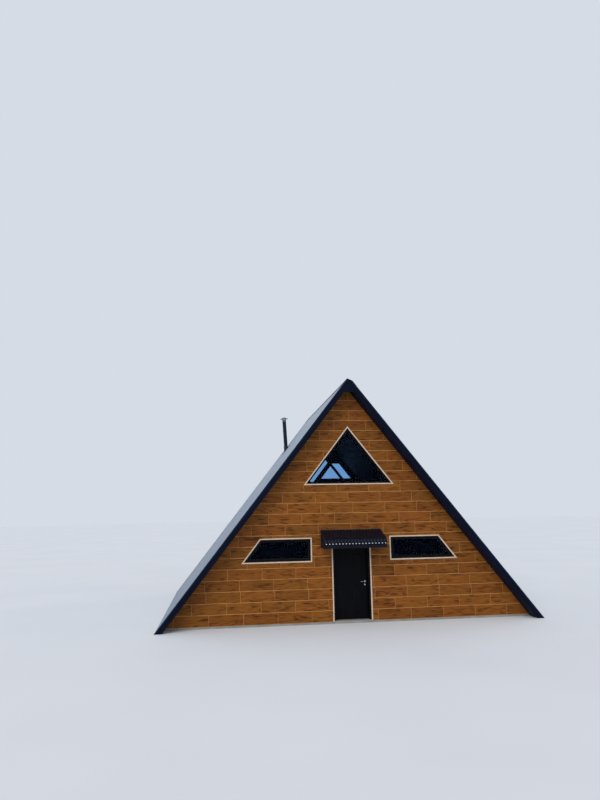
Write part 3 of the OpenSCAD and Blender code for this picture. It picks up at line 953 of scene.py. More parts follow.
@dataclass
class Gable:
    """A gable wall's tiles, joints, window trims and window beads.

    Attributes:
        side: front or back.
        loft_window: the window in the loft.
        phases: where a joint between tiles stands in each course, in metres from the middle.
        keep_out: holes in the tiles besides the windows.
        seed: start of the tiles' random tones.
        slim: the loft window has a slimmer frame than its CAD node.
        course: height of a course.
        tile: length of a tile with its joint.
        start: height of the first course's foot.
        proud: how far the tiles stand out from the wall.
        joint: width of a level joint, wider than the real 4 mm so that it shows.
        butt: width of the joints between tiles' ends, as a share of a level joint's.
        joint_depth: how far the mortar lies behind the tiles' face.
        chamfer: width of the tiles' bevelled arris.
        sill: height of the low windows' foot.
        head: height of their top.
        inner: distance of their upright side from the middle.
        outer: distance of their outer corner at the foot from the middle.
        narrow: no tile is cut narrower than this at an edge.
        crumb: pieces of tile smaller than this many square metres are left out.
        trim: width of the window trims in millimetres.
        frame: width of a window frame in sight, and how far its beads stand in over the pane, in millimetres.
        slim_frame: the same two for a slim frame.
        held: how far a slim frame's pane goes into it, in millimetres.
    """

    side: Side
    loft_window: Opening
    phases: Sequence[float]
    keep_out: Sequence[Opening] = ()
    seed: int = 7
    slim: bool = False
    course: float = 0.30
    tile: float = 0.955
    start: float = 0.06
    proud: float = 0.011
    joint: float = 0.011
    butt: float = 0.6
    joint_depth: float = 0.002
    chamfer: float = 0.0015
    sill: float = 1.70
    head: float = 2.384
    inner: float = 1.135
    outer: float = 3.15
    narrow: float = 0.012
    crumb: float = 5e-6
    trim: float = 36
    frame: Pair = (62, 13.5)
    slim_frame: Pair = (36, 6.5)
    held: float = 6

    @property
    def side_windows(self) -> list[Opening]:
        """The two low windows: upright inside, parallel to the roof outside.

        Returns:
            The left one and the right one.
        """
        slanted = Edge(self.outer + self.sill * SHELL.lean, -SHELL.lean)
        right = Opening(self.sill, self.head, Edge(self.inner), slanted)
        return [right.mirrored(), right]

    @property
    def wall(self) -> Opening:
        """The part of the wall under the soffits."""
        return SHELL.under_roof(SHELL.soffit_depth)

    @property
    def openings(self) -> list[Opening]:
        """Every hole in the tiles."""
        return [self.loft_window, *self.side_windows, *self.keep_out]

    def cells(self, low: float, high: float, joints: Sequence[float]) -> list[list[float]]:
        """The pieces of wall in a level strip, cut at the holes' edges and at the upright joints.

        Args:
            low: the strip's foot.
            high: the strip's top.
            joints: places of the upright joints.

        Returns:
            For each piece two heights, at, lean and joint of its left and right edge, and its number.
        """
        middle = (low + high) / 2
        holes = [hole for hole in self.openings if hole.low < middle < hole.high]
        holes = [hole for hole in holes if hole.left.along(middle) < hole.right.along(middle)]
        holes.sort(key=lambda hole: hole.left.along(middle))
        inner = [edge for hole in holes for edge in (hole.left, hole.right)]
        edges = [self.wall.left, *inner, self.wall.right]
        rows = []
        for first, last in zip(edges[::2], edges[1::2]):
            start, end = first.along(middle) + self.narrow, last.along(middle) - self.narrow
            inside = [Edge(x, 0.0, self.butt) for x in joints if start < x < end]
            line = [first, *inside, last]
            for a, b in zip(line, line[1:]):
                number = sum(x < (a.along(middle) + b.along(middle)) / 2 for x in joints)
                rows.append([low, high, a.at, a.lean, a.joint, b.at, b.lean, b.joint, number])
        return rows

    def courses(self, apart: float = 1e-4, reach: int = 8) -> tuple[Array, Array]:
        """Cuts each course at the holes' heights and where an upright joint meets a slanted edge.

        Args:
            apart: least distance of a cut from the course's foot and top; cuts within a tenth of it are one.
            reach: how many joints are laid out on each side of the middle.

        Returns:
            The pieces' rows, and for each piece whether its foot and its top are a level joint.
        """
        rows, levels_met = [], []
        holes = [self.wall, *self.openings]
        slanted = [edge for hole in holes for edge in (hole.left, hole.right) if edge.lean]
        peaks = [hole.outline(0)[2, 1] for hole in (self.loft_window, self.wall)]
        tops = [level for hole in self.openings for level in (hole.low, hole.high)] + peaks
        for k in range(math.ceil((peaks[1] - self.start) / self.course)):
            foot, head = self.start + k * self.course, self.start + (k + 1) * self.course
            joints = self.phases[k % len(self.phases)] + self.tile * np.arange(-reach, reach + 1)
            cuts = tops + [(x - edge.at) / edge.lean for x in joints for edge in slanted]
            levels = sorted({foot, head, *[z for z in cuts if foot + apart < z < head - apart]})
            levels = [z for z, below in zip(levels, [-1.0, *levels]) if z - below > apart / 10]
            for low, high in zip(levels, levels[1:]):
                for row in self.cells(low, high, joints):
                    rows.append([*row, k])
                    levels_met.append([low == foot, high == head])
        return np.array(rows, float), np.array(levels_met, float)

    def ring(self, rows: Array, met: Array, inset: float, out: float) -> Array:
        """The pieces' corners: heights and edges moved in at joints only, and cut off where two edges meet.

        Args:
            rows: the pieces' rows.
            met: the pieces' level joints.
            inset: how far the joints are taken in.
            out: height over the wall.

        Returns:
            (n, 4, 3) corners in flat coordinates.
        """
        low = rows[:, 0] + inset * met[:, 0]
        high = rows[:, 1] - inset * met[:, 1]
        left, left_lean = rows[:, 2] + inset * rows[:, 4], rows[:, 3]
        right, right_lean = rows[:, 5] - inset * rows[:, 7], rows[:, 6]
        closing = left_lean - right_lean
        meet = (right - left) / np.where(closing == 0, math.inf, closing)
        high = np.where(closing > 0, np.minimum(high, meet), high)
        low = np.where(closing < 0, np.maximum(low, meet), low)
        low = np.minimum(low, high)
        corners = [
            (left + left_lean * low, low), (right + right_lean * low, low),
            (right + right_lean * high, high), (left + left_lean * high, high),
        ]
        return np.stack([np.stack([x, z, np.full(len(rows), out)], -1) for x, z in corners], 1)

    def slabs(self, rows: Array, met: Array, steps: Sequence[Pair]) -> Surface:
        """Pieces that stand on the wall through several rings of corners, each (inset, out).

        Args:
            rows: the pieces' rows.
            met: the pieces' level joints.
            steps: the rings from the wall to the face.

        Returns:
            All pieces in flat coordinates.
        """
        rings = np.stack([self.ring(rows, met, inset, out) for inset, out in steps], 1)
        number = np.arange(rings[..., 0].size).reshape(rings.shape[:3])
        near, far = number[:, :-1], number[:, 1:]
        sides = np.stack([near, np.roll(near, -1, 2), np.roll(far, -1, 2), far], -1).reshape(-1, 4)
        return Surface(rings.reshape(-1, 3), [sides, number[:, 0, ::-1], number[:, -1]])

    def tiles(self, draws: int = 64) -> tuple[Surface, Surface]:
        """The tiles and the mortar behind them.

        Args:
            draws: random pairs for each of as many courses, so that cut pieces of one tile share a pair.

        Returns:
            Both surfaces, the tiles with a number and a tone each.
        """
        rows, met = self.courses()
        gap, face = self.joint / 2, self.proud
        whole = self.ring(rows, met, gap + self.chamfer, face)
        foot, head = whole[:, 1, 0] - whole[:, 0, 0], whole[:, 2, 0] - whole[:, 3, 0]
        kept = (whole[:, 2, 1] - whole[:, 1, 1]) * (foot + head) > 2 * self.crumb
        rows, met = rows[kept], met[kept]
        steps = [(gap, 0.0), (gap, face - self.chamfer), (gap + self.chamfer, face)]
        made = self.slabs(rows, met, steps)
        table = np.random.default_rng(self.seed).random((draws, draws, 2))
        pick = table[rows[:, 9].astype(int) % draws, rows[:, 8].astype(int) % draws]
        pick = pick.repeat(4 * len(steps), axis=0)
        made.marks = {"tile": pick[:, 0], "tone": pick[:, 1]}
        return made, self.slabs(rows, met, [(0.0, 0.0), (0.0, face - self.joint_depth)])

    def slim_window(self) -> None:
        """A frame and a pane for the loft window where its real frame is slimmer than its CAD node."""
        name, facing = f"{self.side.value}_gable_window", SHELL.facing(self.side)
        start, end = self.trim, self.trim + self.slim_frame[0]
        # From 20 to 90 mm behind the wall's face, with both inner arrises taken off by 3 mm.
        section = [(start, -90), (start, -20), (end - 3, -20), (end, -23), (end, -87), (end - 3, -90)]
        shape = framed(self.loft_window.outline, np.array(section) * MM)
        dress(f"{name}_slim_frame", [shape], PVC_FRAME, facing, stands_for=[f"{name}_frame"])
        low, high = SHELL.glass_out - SHELL.glass_half, SHELL.glass_out + SHELL.glass_half
        shape = plate(self.loft_window.outline((end - self.held) * MM), low, high)
        dress(f"{name}_pane", [shape], GLASS, facing, stands_for=[f"{name}_glass"])

    def windows(self) -> None:
        """Trims as rounded mouldings, and beads and thin seals on both faces of the glass."""
        name, facing = self.side.value, SHELL.facing(self.side)
        if self.slim:
            self.slim_window()
        loft_frame = self.slim_frame if self.slim else self.frame
        kinds = (("gable", [self.loft_window], loft_frame), ("side", self.side_windows, self.frame))
        for part, openings, (width, reach) in kinds:
            node = f"{name}_{part}_window_trim" + ("s" if part == "side" else "")
            shapes = [framed(opening.outline, trim_section(self.trim)) for opening in openings]
            dress(f"{node}_moulding", shapes, CREAM_TRIM, facing, stands_for=[node], smooth=35)
            bead, seal = glazing_sections(self.trim + width, reach)
            for kind, section, finish in (("beads", bead, PVC_FRAME), ("seals", seal, RUBBER)):
                both = (section, section * (1, -1) + (0, 2 * SHELL.glass_out))
                shapes = [framed(opening.outline, one) for opening in openings for one in both]
                dress(f"{name}_{part}_window_{kind}", shapes, finish, facing, smooth=35)

    def build(self) -> None:
        """Lays the tiles, fits the windows and dresses the wall's own nodes."""
        name, facing = self.side.value, SHELL.facing(self.side)
        tiles, mortar = self.tiles()
        dress(f"{name}_tiles", [tiles], PLANK_TILE, facing)
        dress(f"{name}_joint_mortar", [mortar], JOINT_MORTAR, facing)
        self.windows()
        walls = {Side.FRONT: ("left", "right", "lintel", "upper"), Side.BACK: ("lower", "upper")}
        finish_nodes(PINE_LINING, *[f"{name}_wall_{part}" for part in walls[self.side]])
        finish_nodes(PVC_FRAME, f"{name}_gable_window_frame", f"{name}_side_window_frames")
        finish_nodes(GLASS, f"{name}_gable_window_glass", f"{name}_side_window_glass")
        finish_nodes(CREAM_TRIM, f"{name}_gable_window_trim", f"{name}_side_window_trims")
        finish_nodes(SOFFIT_BOARDS, f"{name}_soffits")
        for hand, board in RAKE_BOARDS.items():
            finish_nodes(board, f"{name}_fascia_{hand.value}")
            finish_nodes(EDGE_TRIM, f"{name}_verge_{hand.value}")


@dataclass
class BackBars:
    """Bars and rails of the back windows: slanted bars that cross in pairs, and rails on the outer panes.

    Attributes:
        loft_window: the loft window that the bars cross.
        side_window: the right one of the two low windows.
        lean_in: height at which the bars that lean in with the roof would meet over the middle.
        lean_in_width: width of those bars.
        rise: height from which the rising bars start in the middle.
        rise_width: width of those bars.
        foot_rail: height of the rail under the outer panes.
        head_rail: height of the rail over them.
        side_rail: height of the rail at the foot of a low window.
        frame: width of trim and frame round the glass.
        thick: how far bars and rails stand out from each face of the glass.
    """

    loft_window: Opening
    side_window: Opening
    lean_in: float = 5.99
    lean_in_width: float = 0.105
    rise: float = 4.06
    rise_width: float = 0.18
    foot_rail: float = 0.144
    head_rail: float = 0.15
    side_rail: float = 0.11
    frame: float = 0.098
    thick: float = 0.014

    def strip(self, low: float, high: float, left: Edge, right: Edge) -> Array:
        """The four corners between two heights and two edges, which may cross on the way.

        Args:
            low: the foot.
            high: the top.
            left: the left edge.
            right: the right edge.

        Returns:
            (4, 2) corners.
        """
        ends = [(left, low), (right, low), (right, high), (left, high)]
        return np.array([(edge.along(up), up) for edge, up in ends])

    def loft_strips(self) -> list[Array]:
        """The loft window's bars and rails on its right half, where a bar may cross the middle.

        Returns:
            Their (4, 2) outlines.
        """
        low, high = self.loft_window.low + self.frame, self.loft_window.high - self.frame
        inward = SHELL.gabled(self.lean_in).right
        rising = SHELL.gabled(self.rise).left
        side = self.loft_window.right.moved(-self.frame)
        bars = [(inward, self.lean_in_width / 2), (rising, self.rise_width / 2)]
        strips = [self.strip(low, high, bar.moved(-half), bar.moved(half)) for bar, half in bars]
        strips.append(self.strip(low, low + self.foot_rail, rising, side))
        strips.append(self.strip(high - self.head_rail, high, rising, side))
        return strips

    def fit(self, name: str, strips: Sequence[Array]) -> None:
        """Lays strips of both hands on both faces of the glass, each 1 mm thinner than the one it crosses.

        Args:
            name: the piece's name.
            strips: their (4, 2) outlines, the thickest first.
        """
        outer, inner = SHELL.glass_out + SHELL.glass_half, SHELL.glass_out - SHELL.glass_half
        shapes = []
        for step, strip in enumerate(strips):
            thick = self.thick - MM * step
            for hand in ((1, 1), (-1, 1)):
                shapes.append(plate(strip * hand, outer, outer + thick))
                shapes.append(plate(strip * hand, inner - thick, inner))
        dress(name, shapes, PVC_FRAME, SHELL.facing(Side.BACK))

    def build(self) -> None:
        """Fits the bars and rails to both kinds of window."""
        self.fit("back_gable_window_bars", self.loft_strips())
        low = self.side_window.low + self.frame
        left, right = self.side_window.left.moved(self.frame), self.side_window.right.moved(-self.frame)
        self.fit("back_side_window_rails", [self.strip(low, low + self.side_rail, left, right)])


# Roof


@dataclass
class Roof:
    """Screws, laps and ridge of the two slopes.

    Attributes:
        rib_pitch: distance between ribs.
        rib_count: how many ribs a slope has.
        middle: place of the ribs' middle along the cabin.
        sheet: height of the sheets' flats over the roof panels.
        rows: heights of the screw rows up the slope.
        screw: radius and height of the sheets' screws.
        verge_screw: radius and height of the verge trims' screws.
        verge_rows: clearance of the verge screws from the foot and from the ridge, and their spacing.
        verge_in: distance of the verge screws from the barge boards' face.
        lap_every: how many ribs a sheet covers.
        lap_edge: distance of a sheet's edge from a valley's middle.
        lap_foot: distance of the laps' lower end from the foot.
        lap_head: distance of their upper end from the ridge on each slope, the right one under the left one.
    """

    rib_pitch: float = 0.25
    rib_count: int = 32
    middle: float = 0.14
    sheet: float = 0.0033
    rows: Sequence[float] = (0.25, 1.15, 2.05, 2.95, 3.85, 4.75, 5.65, 6.55, 7.45, 8.30)
    screw: Pair = (0.013, 0.009)
    verge_screw: Pair = (0.009, 0.006)
    verge_rows: Triple = (0.3, 0.25, 0.6)
    verge_in: float = 0.055
    lap_every: int = 4
    lap_edge: float = 0.045
    lap_foot: float = 0.01
    lap_head: Pair = (0.12, 0.24)

    def valleys(self, side: Side) -> Array:
        """Places halfway between two ribs, along a slope."""
        places = self.middle + (np.arange(1, self.rib_count) - self.rib_count / 2) * self.rib_pitch
        return places * SHELL.facing(side).along[1]

    def screws(self, side: Side) -> None:
        """A screw beside every other rib in each row, and a line of small ones up both verge trims.

        Args:
            side: the slope.
        """
        facing = SHELL.facing(side)
        along, up = np.meshgrid(self.valleys(side)[::2], self.rows)
        places = np.stack([along.ravel(), up.ravel(), np.full(along.size, self.sheet)], -1)
        shape = repeated(screw_head(*self.screw), places)
        dress(f"{side.value}_roof_screws", [shape], ZINC, facing, smooth=40)
        first, last, pitch = self.verge_rows
        verges = np.array([SHELL.rake_front + self.verge_in, SHELL.rake_back - self.verge_in])
        verges *= facing.along[1]
        up, along = np.meshgrid(np.arange(first, SHELL.slope_length - last, pitch), verges)
        places = np.stack([along.ravel(), up.ravel(), np.full(up.size, SHELL.rib_height)], -1)
        shape = repeated(screw_head(*self.verge_screw), places)
        dress(f"{side.value}_verge_screws", [shape], EDGE_TRIM, facing, smooth=40)

    def laps(self, side: Side, head: float) -> None:
        """Edges of the sheets' side laps: a low lip up the slope, its section once at each end.

        Args:
            side: the slope.
            head: distance of their upper end from the ridge.
        """
        section = np.array([(0, 0), (0, 1.6), (2, 2.2), (40, 2.2), (40, 0)]) * MM
        shapes = []
        for valley in self.valleys(side)[self.lap_every - 1 :: self.lap_every]:
            along, out = valley + self.lap_edge + section[:, 0], self.sheet + section[:, 1]
            ends = (self.lap_foot, SHELL.slope_length - head)
            lines = [np.stack([along, np.full_like(along, up), out], -1) for up in ends]
            shapes.append(lattice(np.stack(lines)))
        dress(f"{side.value}_sheet_laps", shapes, SHEETS[side], SHELL.facing(side))

    def build(self) -> None:
        """Fits the screws and laps and dresses the roof's nodes."""
        for side in SHEETS:
            self.screws(side)
        for (side, sheet), head in zip(SHEETS.items(), self.lap_head):
            self.laps(side, head)
            finish_nodes(PINE_DECK, f"roof_{side.value}")
            finish_nodes(sheet, f"roof_sheet_{side.value}")
        finish_nodes(EDGE_TRIM, "ridge_cap")


# Entrance


@dataclass
class Entrance:
    """The door's mouldings, lock and casing.

    Attributes:
        half: half the casing's width.
        top: height of its top.
        foot: height of its foot.
        panel_columns: left and right side of each column of panels.
        panel_rows: foot and top of each row.
        face: place of the leaf's outer face behind the wall's face.
        back: place of its inner face.
        sunk: how far the panels are sunk.
        lock_place: place of the lock along and up.
    """

    half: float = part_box("door_casing")[1].x
    top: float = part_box("door_casing")[1].z
    foot: float = 0.06
    panel_columns: Sequence[Pair] = ((-0.374, -0.046), (0.044, 0.372))
    panel_rows: Sequence[Pair] = ((0.198, 0.886), (0.976, 1.927))
    face: float = -0.155
    back: float = -0.200
    sunk: float = 0.008
    lock_place: Pair = (0.407, 1.02)

    def casing_line(self, inset: float) -> Array:
        """Up the left side, across the top and down the right, taken in by an inset."""
        side, top = self.half - inset, self.top - inset
        return np.array([(-side, self.foot), (-side, top), (side, top), (side, self.foot)])

    def casing(self) -> None:
        """The casing as a mitred moulding."""
        shape = framed(self.casing_line, trim_section(38), ring=False)
        facing = SHELL.facing(Side.FRONT)
        dress("door_casing_moulding", [shape], CREAM_TRIM, facing, stands_for=["door_casing"], smooth=35)

    def panels(self) -> None:
        """A moulding round each sunk panel and a raised field in it, on both faces of the leaf."""
        bead = np.array([(0, 0), (0, 7), (3, 7.6), (8, 6.2), (13, 3), (17, 2.4), (18, 0)]) * MM
        rise = np.array([(34, 0), (36, 1.5), (52, 5.5), (56, 6.2)]) * MM
        shapes = []
        for left, right in self.panel_columns:
            for low, high in self.panel_rows:
                panel = Opening(low, high, Edge(left), Edge(right))
                for floor, sign in ((self.face - self.sunk, 1), (self.back + self.sunk, -1)):
                    shapes.append(framed(panel.outline, bead * (1, sign) + (0, floor)))
                    steps = rise * (1, sign) + (0, floor)
                    rings = [np.column_stack([panel.outline(inset), [out] * 4]) for inset, out in steps]
                    shapes.append(lattice(np.stack(rings)))
        dress("door_panel_mouldings", shapes, DOOR_PAINT, SHELL.facing(Side.FRONT), Body.DOOR, smooth=30)

    def lock(self) -> None:
        """A round lock cover with its cylinder and key slot under the handle, on both faces."""
        cover = np.array([(24, 0), (24, 5), (21, 7), (10, 7), (9, 4)]) * MM
        barrel = np.array([(8.5, 0), (8.5, 9), (7, 10)]) * MM
        slot = np.array([(-1.3, -6), (1.3, -6), (1.3, 6), (-1.3, 6)]) * MM
        cut = plate(slot, 9.5 * MM, 10.5 * MM)
        turned = np.array([np.diag([1.0, 1.0, -1.0])])
        outer, inner = (np.array([[*self.lock_place, out]]) for out in (self.face, self.back))
        faces = ((outer, None), (inner, turned))
        metal = [revolved(cover, sides=28), revolved(barrel, sides=20)]
        kinds = {"cover": (metal, BRUSHED_STEEL), "slot": ([cut], RUBBER)}
        for kind, (parts, finish) in kinds.items():
            shapes = [repeated(part, place, turn) for place, turn in faces for part in parts]
            dress(f"door_lock_{kind}", shapes, finish, SHELL.facing(Side.FRONT), Body.DOOR, smooth=35)

    def build(self) -> None:
        """Fits the casing, panels and lock and dresses the doorway's nodes."""
        self.casing()
        self.panels()
        self.lock()
        finish_nodes(DOOR_PAINT, "door_leaf", "door_frame")
        finish_nodes(BRUSHED_STEEL, "door_handle", "hinge_leaf_halves", "hinge_frame_halves")
        finish_nodes(HONED_STONE, "door_threshold")
        finish_nodes(CREAM_TRIM, "door_casing")


@dataclass
class Canopy:
    """The tile-pressed sheet over the door.

    Attributes:
        half: half the sheet's width.
        top: height of the sheet's top at the wall.
        reach: how far its lip stands out.
        pitch: its slope in radians.
        bend: radius of its outer bend.
        foot: height of its lip.
        waves: how many pressed waves it has across.
        wave_points: how many points draw a wave.
        row: distance between the pressed steps.
        wave_height: height of a wave.
        step_height: height of a step.
        thick: thickness of the CAD node that the sheet stands for.
        gauge: how much of that is left free behind the sheet.
        screw: radius and height of the screws' white caps, whose white is a painted highlight for the glints
            along the lip, 35 mm across so that they show.
        screw_up: distance of the screws from the lip.
        screw_in: how far they sit behind the outer line.
    """

    half: float = 0.88
    top: float = 2.6
    reach: float = 0.74
    pitch: float = math.radians(17)
    bend: float = 0.18
    foot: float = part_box("canopy_roof")[0].z
    waves: int = 19
    wave_points: int = 10
    row: float = 0.0908
    wave_height: float = 0.012
    step_height: float = 0.008
    thick: float = 0.024
    gauge: float = 0.002
    screw: Pair = (0.0175, 0.0044)
    screw_up: float = 0.019
    screw_in: float = 0.0045

    @property
    def wave(self) -> float:
        """Distance between two waves."""
        return 2 * self.half / self.waves

    @property
    def straight(self) -> float:
        """Length of the line from the wall to the bend."""
        return (self.reach - self.bend + self.bend * math.sin(self.pitch)) / math.cos(self.pitch)

    @property
    def bend_up(self) -> float:
        """Height of the bend's centre."""
        return self.top - self.straight * math.sin(self.pitch) - self.bend * math.cos(self.pitch)

    @property
    def turn(self) -> float:
        """Angle of the bend in radians."""
        return math.pi / 2 - self.pitch

    @property
    def length(self) -> float:
        """Length of the outer line down to the lip."""
        return self.straight + self.bend * self.turn + self.bend_up - self.foot

    def line(self, run: Array) -> tuple[Array, Array]:
        """The outer line and its normal at distances from the wall: straight, then round the bend, then down.

        Args:
            run: (n,) distances along the line.

        Returns:
            (n, 2) points (up, out) and (n, 2) normals.
        """
        angle = self.turn - np.clip((run - self.straight) / self.bend, 0, self.turn)
        before = np.minimum(run - self.straight, 0)
        after = np.maximum(run - self.straight - self.bend * self.turn, 0)
        normal = np.stack([np.sin(angle), np.cos(angle)], -1)
        tangent = np.stack([-np.cos(angle), np.sin(angle)], -1)
        centre = np.array([self.bend_up, self.reach - self.bend])
        return centre + self.bend * normal + tangent * (before + after)[:, None], normal

    def sheet(self) -> Surface:
        """The pressed sheet: waves across, and steps down it that rise to their own lower edge and drop.

        Returns:
            The sheet as a closed surface in the front's flat coordinates.
        """
        rows = math.ceil(self.length / self.row)
        # Where a row is drawn, as shares of it; the last share stands just before the drop to the next row.
        part = np.array([0.0, 0.2, 0.45, 0.7, 0.9, 0.999])
        run = (np.arange(rows)[:, None] * self.row + part * self.row).ravel()
        lift = np.tile(part, rows)[run < self.length]
        run = np.append(run[run < self.length], self.length)
        lift = np.append(lift, lift[-1])
        across = np.linspace(-self.half, self.half, self.waves * self.wave_points + 1)
        wave = 0.5 - 0.5 * np.cos(2 * np.pi * (across + self.half) / self.wave)
        depth = self.wave_height * (1 - wave)[None] + self.step_height * (1 - lift[:, None])
        point, normal = self.line(run)
        layers = []
        for inset in (depth, np.full_like(depth, self.thick - self.gauge)):
            flat = point[:, None] - normal[:, None] * inset[..., None]
            layers.append(np.concatenate([np.broadcast_to(across[:, None], (*inset.shape, 1)), flat], -1))
        upper, lower = layers
        return lattice(np.concatenate([upper, lower[:, ::-1]], 1))

    def build(self) -> None:
        """Makes the sheet and its screws, and dresses the frame under it."""
        facing = SHELL.facing(Side.FRONT)
        dress("canopy_sheet", [self.sheet()], CANOPY_SHEET, facing, stands_for=["canopy_roof"], smooth=28)
        crests = -self.half + self.wave * (np.arange(self.waves) + 0.5)
        up, out = self.line(np.array([self.length - self.screw_up]))[0][0]
        places = np.stack([crests, np.full_like(crests, up), np.full_like(crests, out - self.screw_in)], -1)
        # The caps' white is a painted highlight: they stand in for the glints along the lip.
        dress("canopy_screws", [repeated(screw_head(*self.screw), places)], GLINT_WHITE_CAP, facing, smooth=40)
        finish_nodes(CANOPY_SHEET, "canopy_roof")
        finish_nodes(CANOPY_BOARDS, "canopy_frame")


# Flue


@dataclass
class Flue:
    """The flue's joint bands, about its leaning line.

    Attributes:
        foot: the line's foot on the left slope.
        lean: its lean in radians.
        radius: the pipe's radius.
        bands: heights of the joints between the pipe's lengths, up the line.
    """

    foot: Triple = (-1.215, 2.34, 5.451)
    lean: float = math.radians(3)
    radius: float = 0.07
    bands: Sequence[float] = (0.34, 0.72)

    def placed(self, shape: Surface) -> Surface:
        """Turns a shape about Y by the flue's lean and moves it to the flue's foot.

        Args:
            shape: the shape, about its own zero.

        Returns:
            The shape in the cabin's frame.
        """
        c, s = math.cos(self.lean), math.sin(self.lean)
        turn = np.array([[[c, 0, -s], [0, 1, 0], [s, 0, c]]])
        return repeated(shape, np.array([self.foot]), turn)

    def build(self) -> None:
        """A crowned band where the pipe's lengths meet, and the finishes of the flue's nodes."""
        crown = np.array([(-2, -12), (4, -10), (6, 0), (4, 10), (-2, 12)]) * MM + (self.radius, 0)
        rings = [self.placed(revolved(crown + (0, height), sides=40)) for height in self.bands]
        dress("flue_bands", rings, FLUE_ENAMEL, smooth=40)
        finish_nodes(FLUE_ENAMEL, "flue_pipe")
        finish_nodes(GALVANISED, "flue_cap")
        finish_nodes(FLASHING_COAT, "flue_flashing")


# Studio


@dataclass
class Studio:
    """Floor, light and camera.

    Attributes:
        eye: the camera's place.
        yaw: its turn to the right of straight ahead.
        tilt: its turn upwards.
        roll: its turn about its own line of sight.
        focal: focal length in pixels.
        frame_height: height in pixels of the image that the focal length is for.
        sensor: size of the sensor along that height in millimetres.
        sees_to: how far the camera sees.
        floor_radius: radius of the floor.
        floor_sides: count of the floor's corners.
        floor_drop: how far the floor lies under the cabin.
        sun: strength of the lamp.
        sun_angle: angle across the lamp in radians, for soft shadows.
        sun_colour: colour of the lamp.
        sun_turns: the lamp's turns about X and about Z in degrees.
        fill: colour of the light from all round.
        fill_level: its strength.
        backdrop: colour that shows behind the cabin.
    """

    eye: Triple = (-3.706, -21.767, 3.218)
    yaw: float = 0.126768
    tilt: float = 0.171388
    roll: float = 0.0187638
    focal: float = 624.8
    frame_height: float = 800
    sensor: float = 36.0
    sees_to: float = 500.0
    floor_radius: float = 150
    floor_sides: int = 96
    floor_drop: float = 0.002
    sun: float = 1.5
    sun_angle: float = 0.7
    sun_colour: Triple = (1.0, 0.99, 0.97)
    sun_turns: Pair = (50, -32)
    fill: str = "#F2F6FF"
    fill_level: float = 0.72
    backdrop: str = "#D5DCE5"

    def place(self, name: str, data: bpy.types.ID) -> bpy.types.Object:
        """Adds an object to the scene.

        Args:
            name: its name.
            data: its camera, lamp or mesh.

        Returns:
            The object.
        """
        made = bpy.data.objects.new(name, data)
        bpy.context.scene.collection.objects.link(made)
        return made

    def camera(self) -> None:
        """Sets the camera from its line of sight, and its right and up turned by the roll."""
        data = bpy.data.cameras.new("view")
        data.sensor_width = self.sensor
        data.lens = self.focal / self.frame_height * self.sensor
        data.clip_end = self.sees_to
        level = math.cos(self.tilt)
        sight = np.array([math.sin(self.yaw) * level, math.cos(self.yaw) * level, math.sin(self.tilt)])
        right = np.array([math.cos(self.yaw), -math.sin(self.yaw), 0.0])
        up = np.cross(right, sight)
        c, s = math.cos(self.roll), math.sin(self.roll)
        pose = np.eye(4)
        pose[:3] = np.stack([right * c - up * s, right * s + up * c, -sight, self.eye], 1)
        made = self.place("view", data)
        made.matrix_world = Matrix(pose.tolist())
        bpy.context.scene.camera = made

    def floor(self) -> None:
        """A wide pale disc at the ground: the cosine and sine of equal turns, times its radius."""
        turn = np.arange(self.floor_sides) * 2 * np.pi / self.floor_sides
        flat = self.floor_radius * np.stack([np.cos(turn), np.sin(turn)], -1)
        points = np.column_stack([flat, np.full(self.floor_sides, -self.floor_drop)])
        made = self.place("floor", Surface(points, [np.arange(self.floor_sides)[None]]).mesh("floor"))
        made.data.materials.append(PALE_FLOOR.material())

    def light(self) -> None:
        """A soft high lamp and even light all round; rays that show the background see its pale colour."""
        lamp = bpy.data.lights.new("soft_sun", "SUN")
        lamp.energy, lamp.angle, lamp.color = self.sun, self.sun_angle, self.sun_colour
        about_x, about_z = (math.radians(turn) for turn in self.sun_turns)
        made = self.place("soft_sun", lamp)
        made.matrix_world = Matrix.Rotation(about_z, 4, "Z") @ Matrix.Rotation(about_x, 4, "X")
        world = bpy.data.worlds.new("studio")
        bpy.context.scene.world = world
        world.use_nodes = True
        tree = world.node_tree
        tree.nodes.clear()
        rays = add(tree, "LightPath", {}).outputs
        seen = add(tree, "Math", {0: rays["Is Camera Ray"], 1: rays["Is Glossy Ray"]}, operation="MAXIMUM")
        seen = add(tree, "Math", {0: seen, 1: rays["Is Transmission Ray"]}, operation="MAXIMUM")
        fill = add(tree, "Background", {"Color": linear(self.fill), "Strength": self.fill_level})
        shown = add(tree, "Background", {"Color": linear(self.backdrop), "Strength": 1.0})
        add(tree, "OutputWorld", {"Surface": add(tree, "MixShader", {0: seen, 1: fill, 2: shown})})

    def build(self) -> None:
        """Sets up the camera, the floor and the light."""
        self.camera()
        self.floor()
        self.light()
        bpy.context.scene.view_settings.view_transform = "Standard"


# Whole cabin


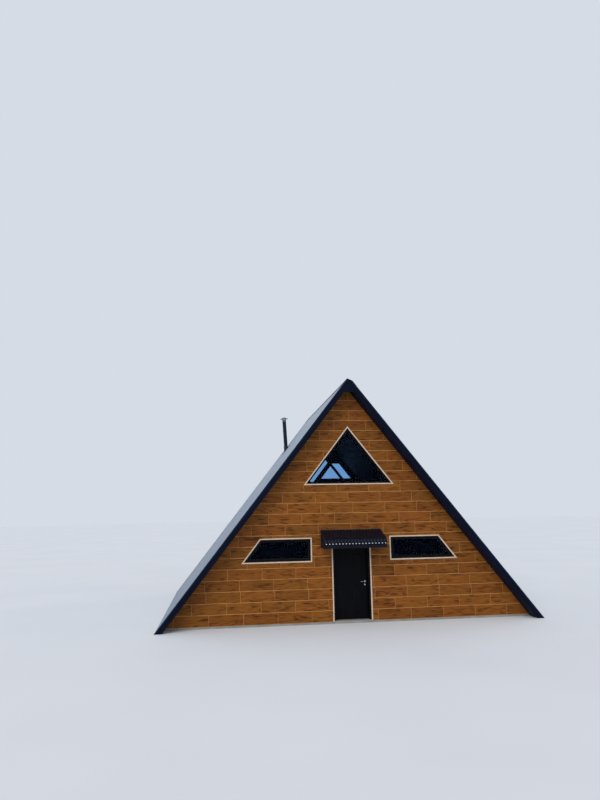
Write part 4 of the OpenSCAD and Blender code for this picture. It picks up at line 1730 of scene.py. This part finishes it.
# Phases of the front's courses: half-bond, a little uneven, as the tiles were laid.
FRONT_PHASES = (
    -0.22, 0.27, -0.30, -0.33, 0.30, -0.12, 0.37, -0.35, 0.01, 0.50, 0.09, -0.05, -0.38, 0.14, -0.28, 0.22,
    -0.31, 0.12, -0.40, 0.05, -0.42, 0.03, 0.48,
)
BACK_PHASES = (0.02, 0.49, -0.05, 0.44, 0.06, -0.42, 0.11, -0.36)


@dataclass
class Cabin:
    """The whole cabin.

    Attributes:
        front_sill: sill line of the front loft window.
        front_height: height of its peak over that line.
        back_levels: sill line and head of the back loft window.
        back_gap: distance of its slanted sides from the soffits.
        ledger_foot: foot of the canopy's board on the wall beside the casing.
        back_seed: start of the back tiles' random tones.
    """

    front_sill: float = 3.87
    front_height: float = 1.72
    back_levels: Pair = (4.16, 5.26)
    back_gap: float = 0.05
    ledger_foot: float = 2.10
    back_seed: int = 11

    def gables(self, entrance: Entrance, canopy: Canopy) -> None:
        """Builds both gable walls, with the tiles cut round the entrance.

        Args:
            entrance: the doorway.
            canopy: the canopy over it.
        """
        half, top = entrance.half, entrance.top
        door = Opening.even(0.0, top, Edge(half))
        hood = Opening.even(top, canopy.top, Edge(canopy.half))
        ledger = Opening(self.ledger_foot, top, Edge(-canopy.half), Edge(-half))
        loft = SHELL.gabled(self.front_sill + self.front_height, self.front_sill)
        Gable(Side.FRONT, loft, FRONT_PHASES, [door, hood, ledger, ledger.mirrored()], slim=True).build()
        loft = SHELL.under_roof(SHELL.soffit_depth + self.back_gap, *self.back_levels)
        back = Gable(Side.BACK, loft, BACK_PHASES, seed=self.back_seed)
        back.build()
        BackBars(loft, back.side_windows[1]).build()

    def build(self) -> None:
        """Builds the cabin's parts in order."""
        entrance, canopy = Entrance(), Canopy()
        self.gables(entrance, canopy)
        for part in (Roof(), entrance, canopy, Flue()):
            part.build()
        finish_nodes(CONCRETE, "ground_slab")
        finish_nodes(PINE_FLOOR, "loft_floor")


def main() -> None:
    """Sets up the studio and builds the cabin."""
    logging.basicConfig(level=logging.INFO, format="%(message)s")
    Studio().build()
    Cabin().build()


if __name__ == "__main__":
    main()
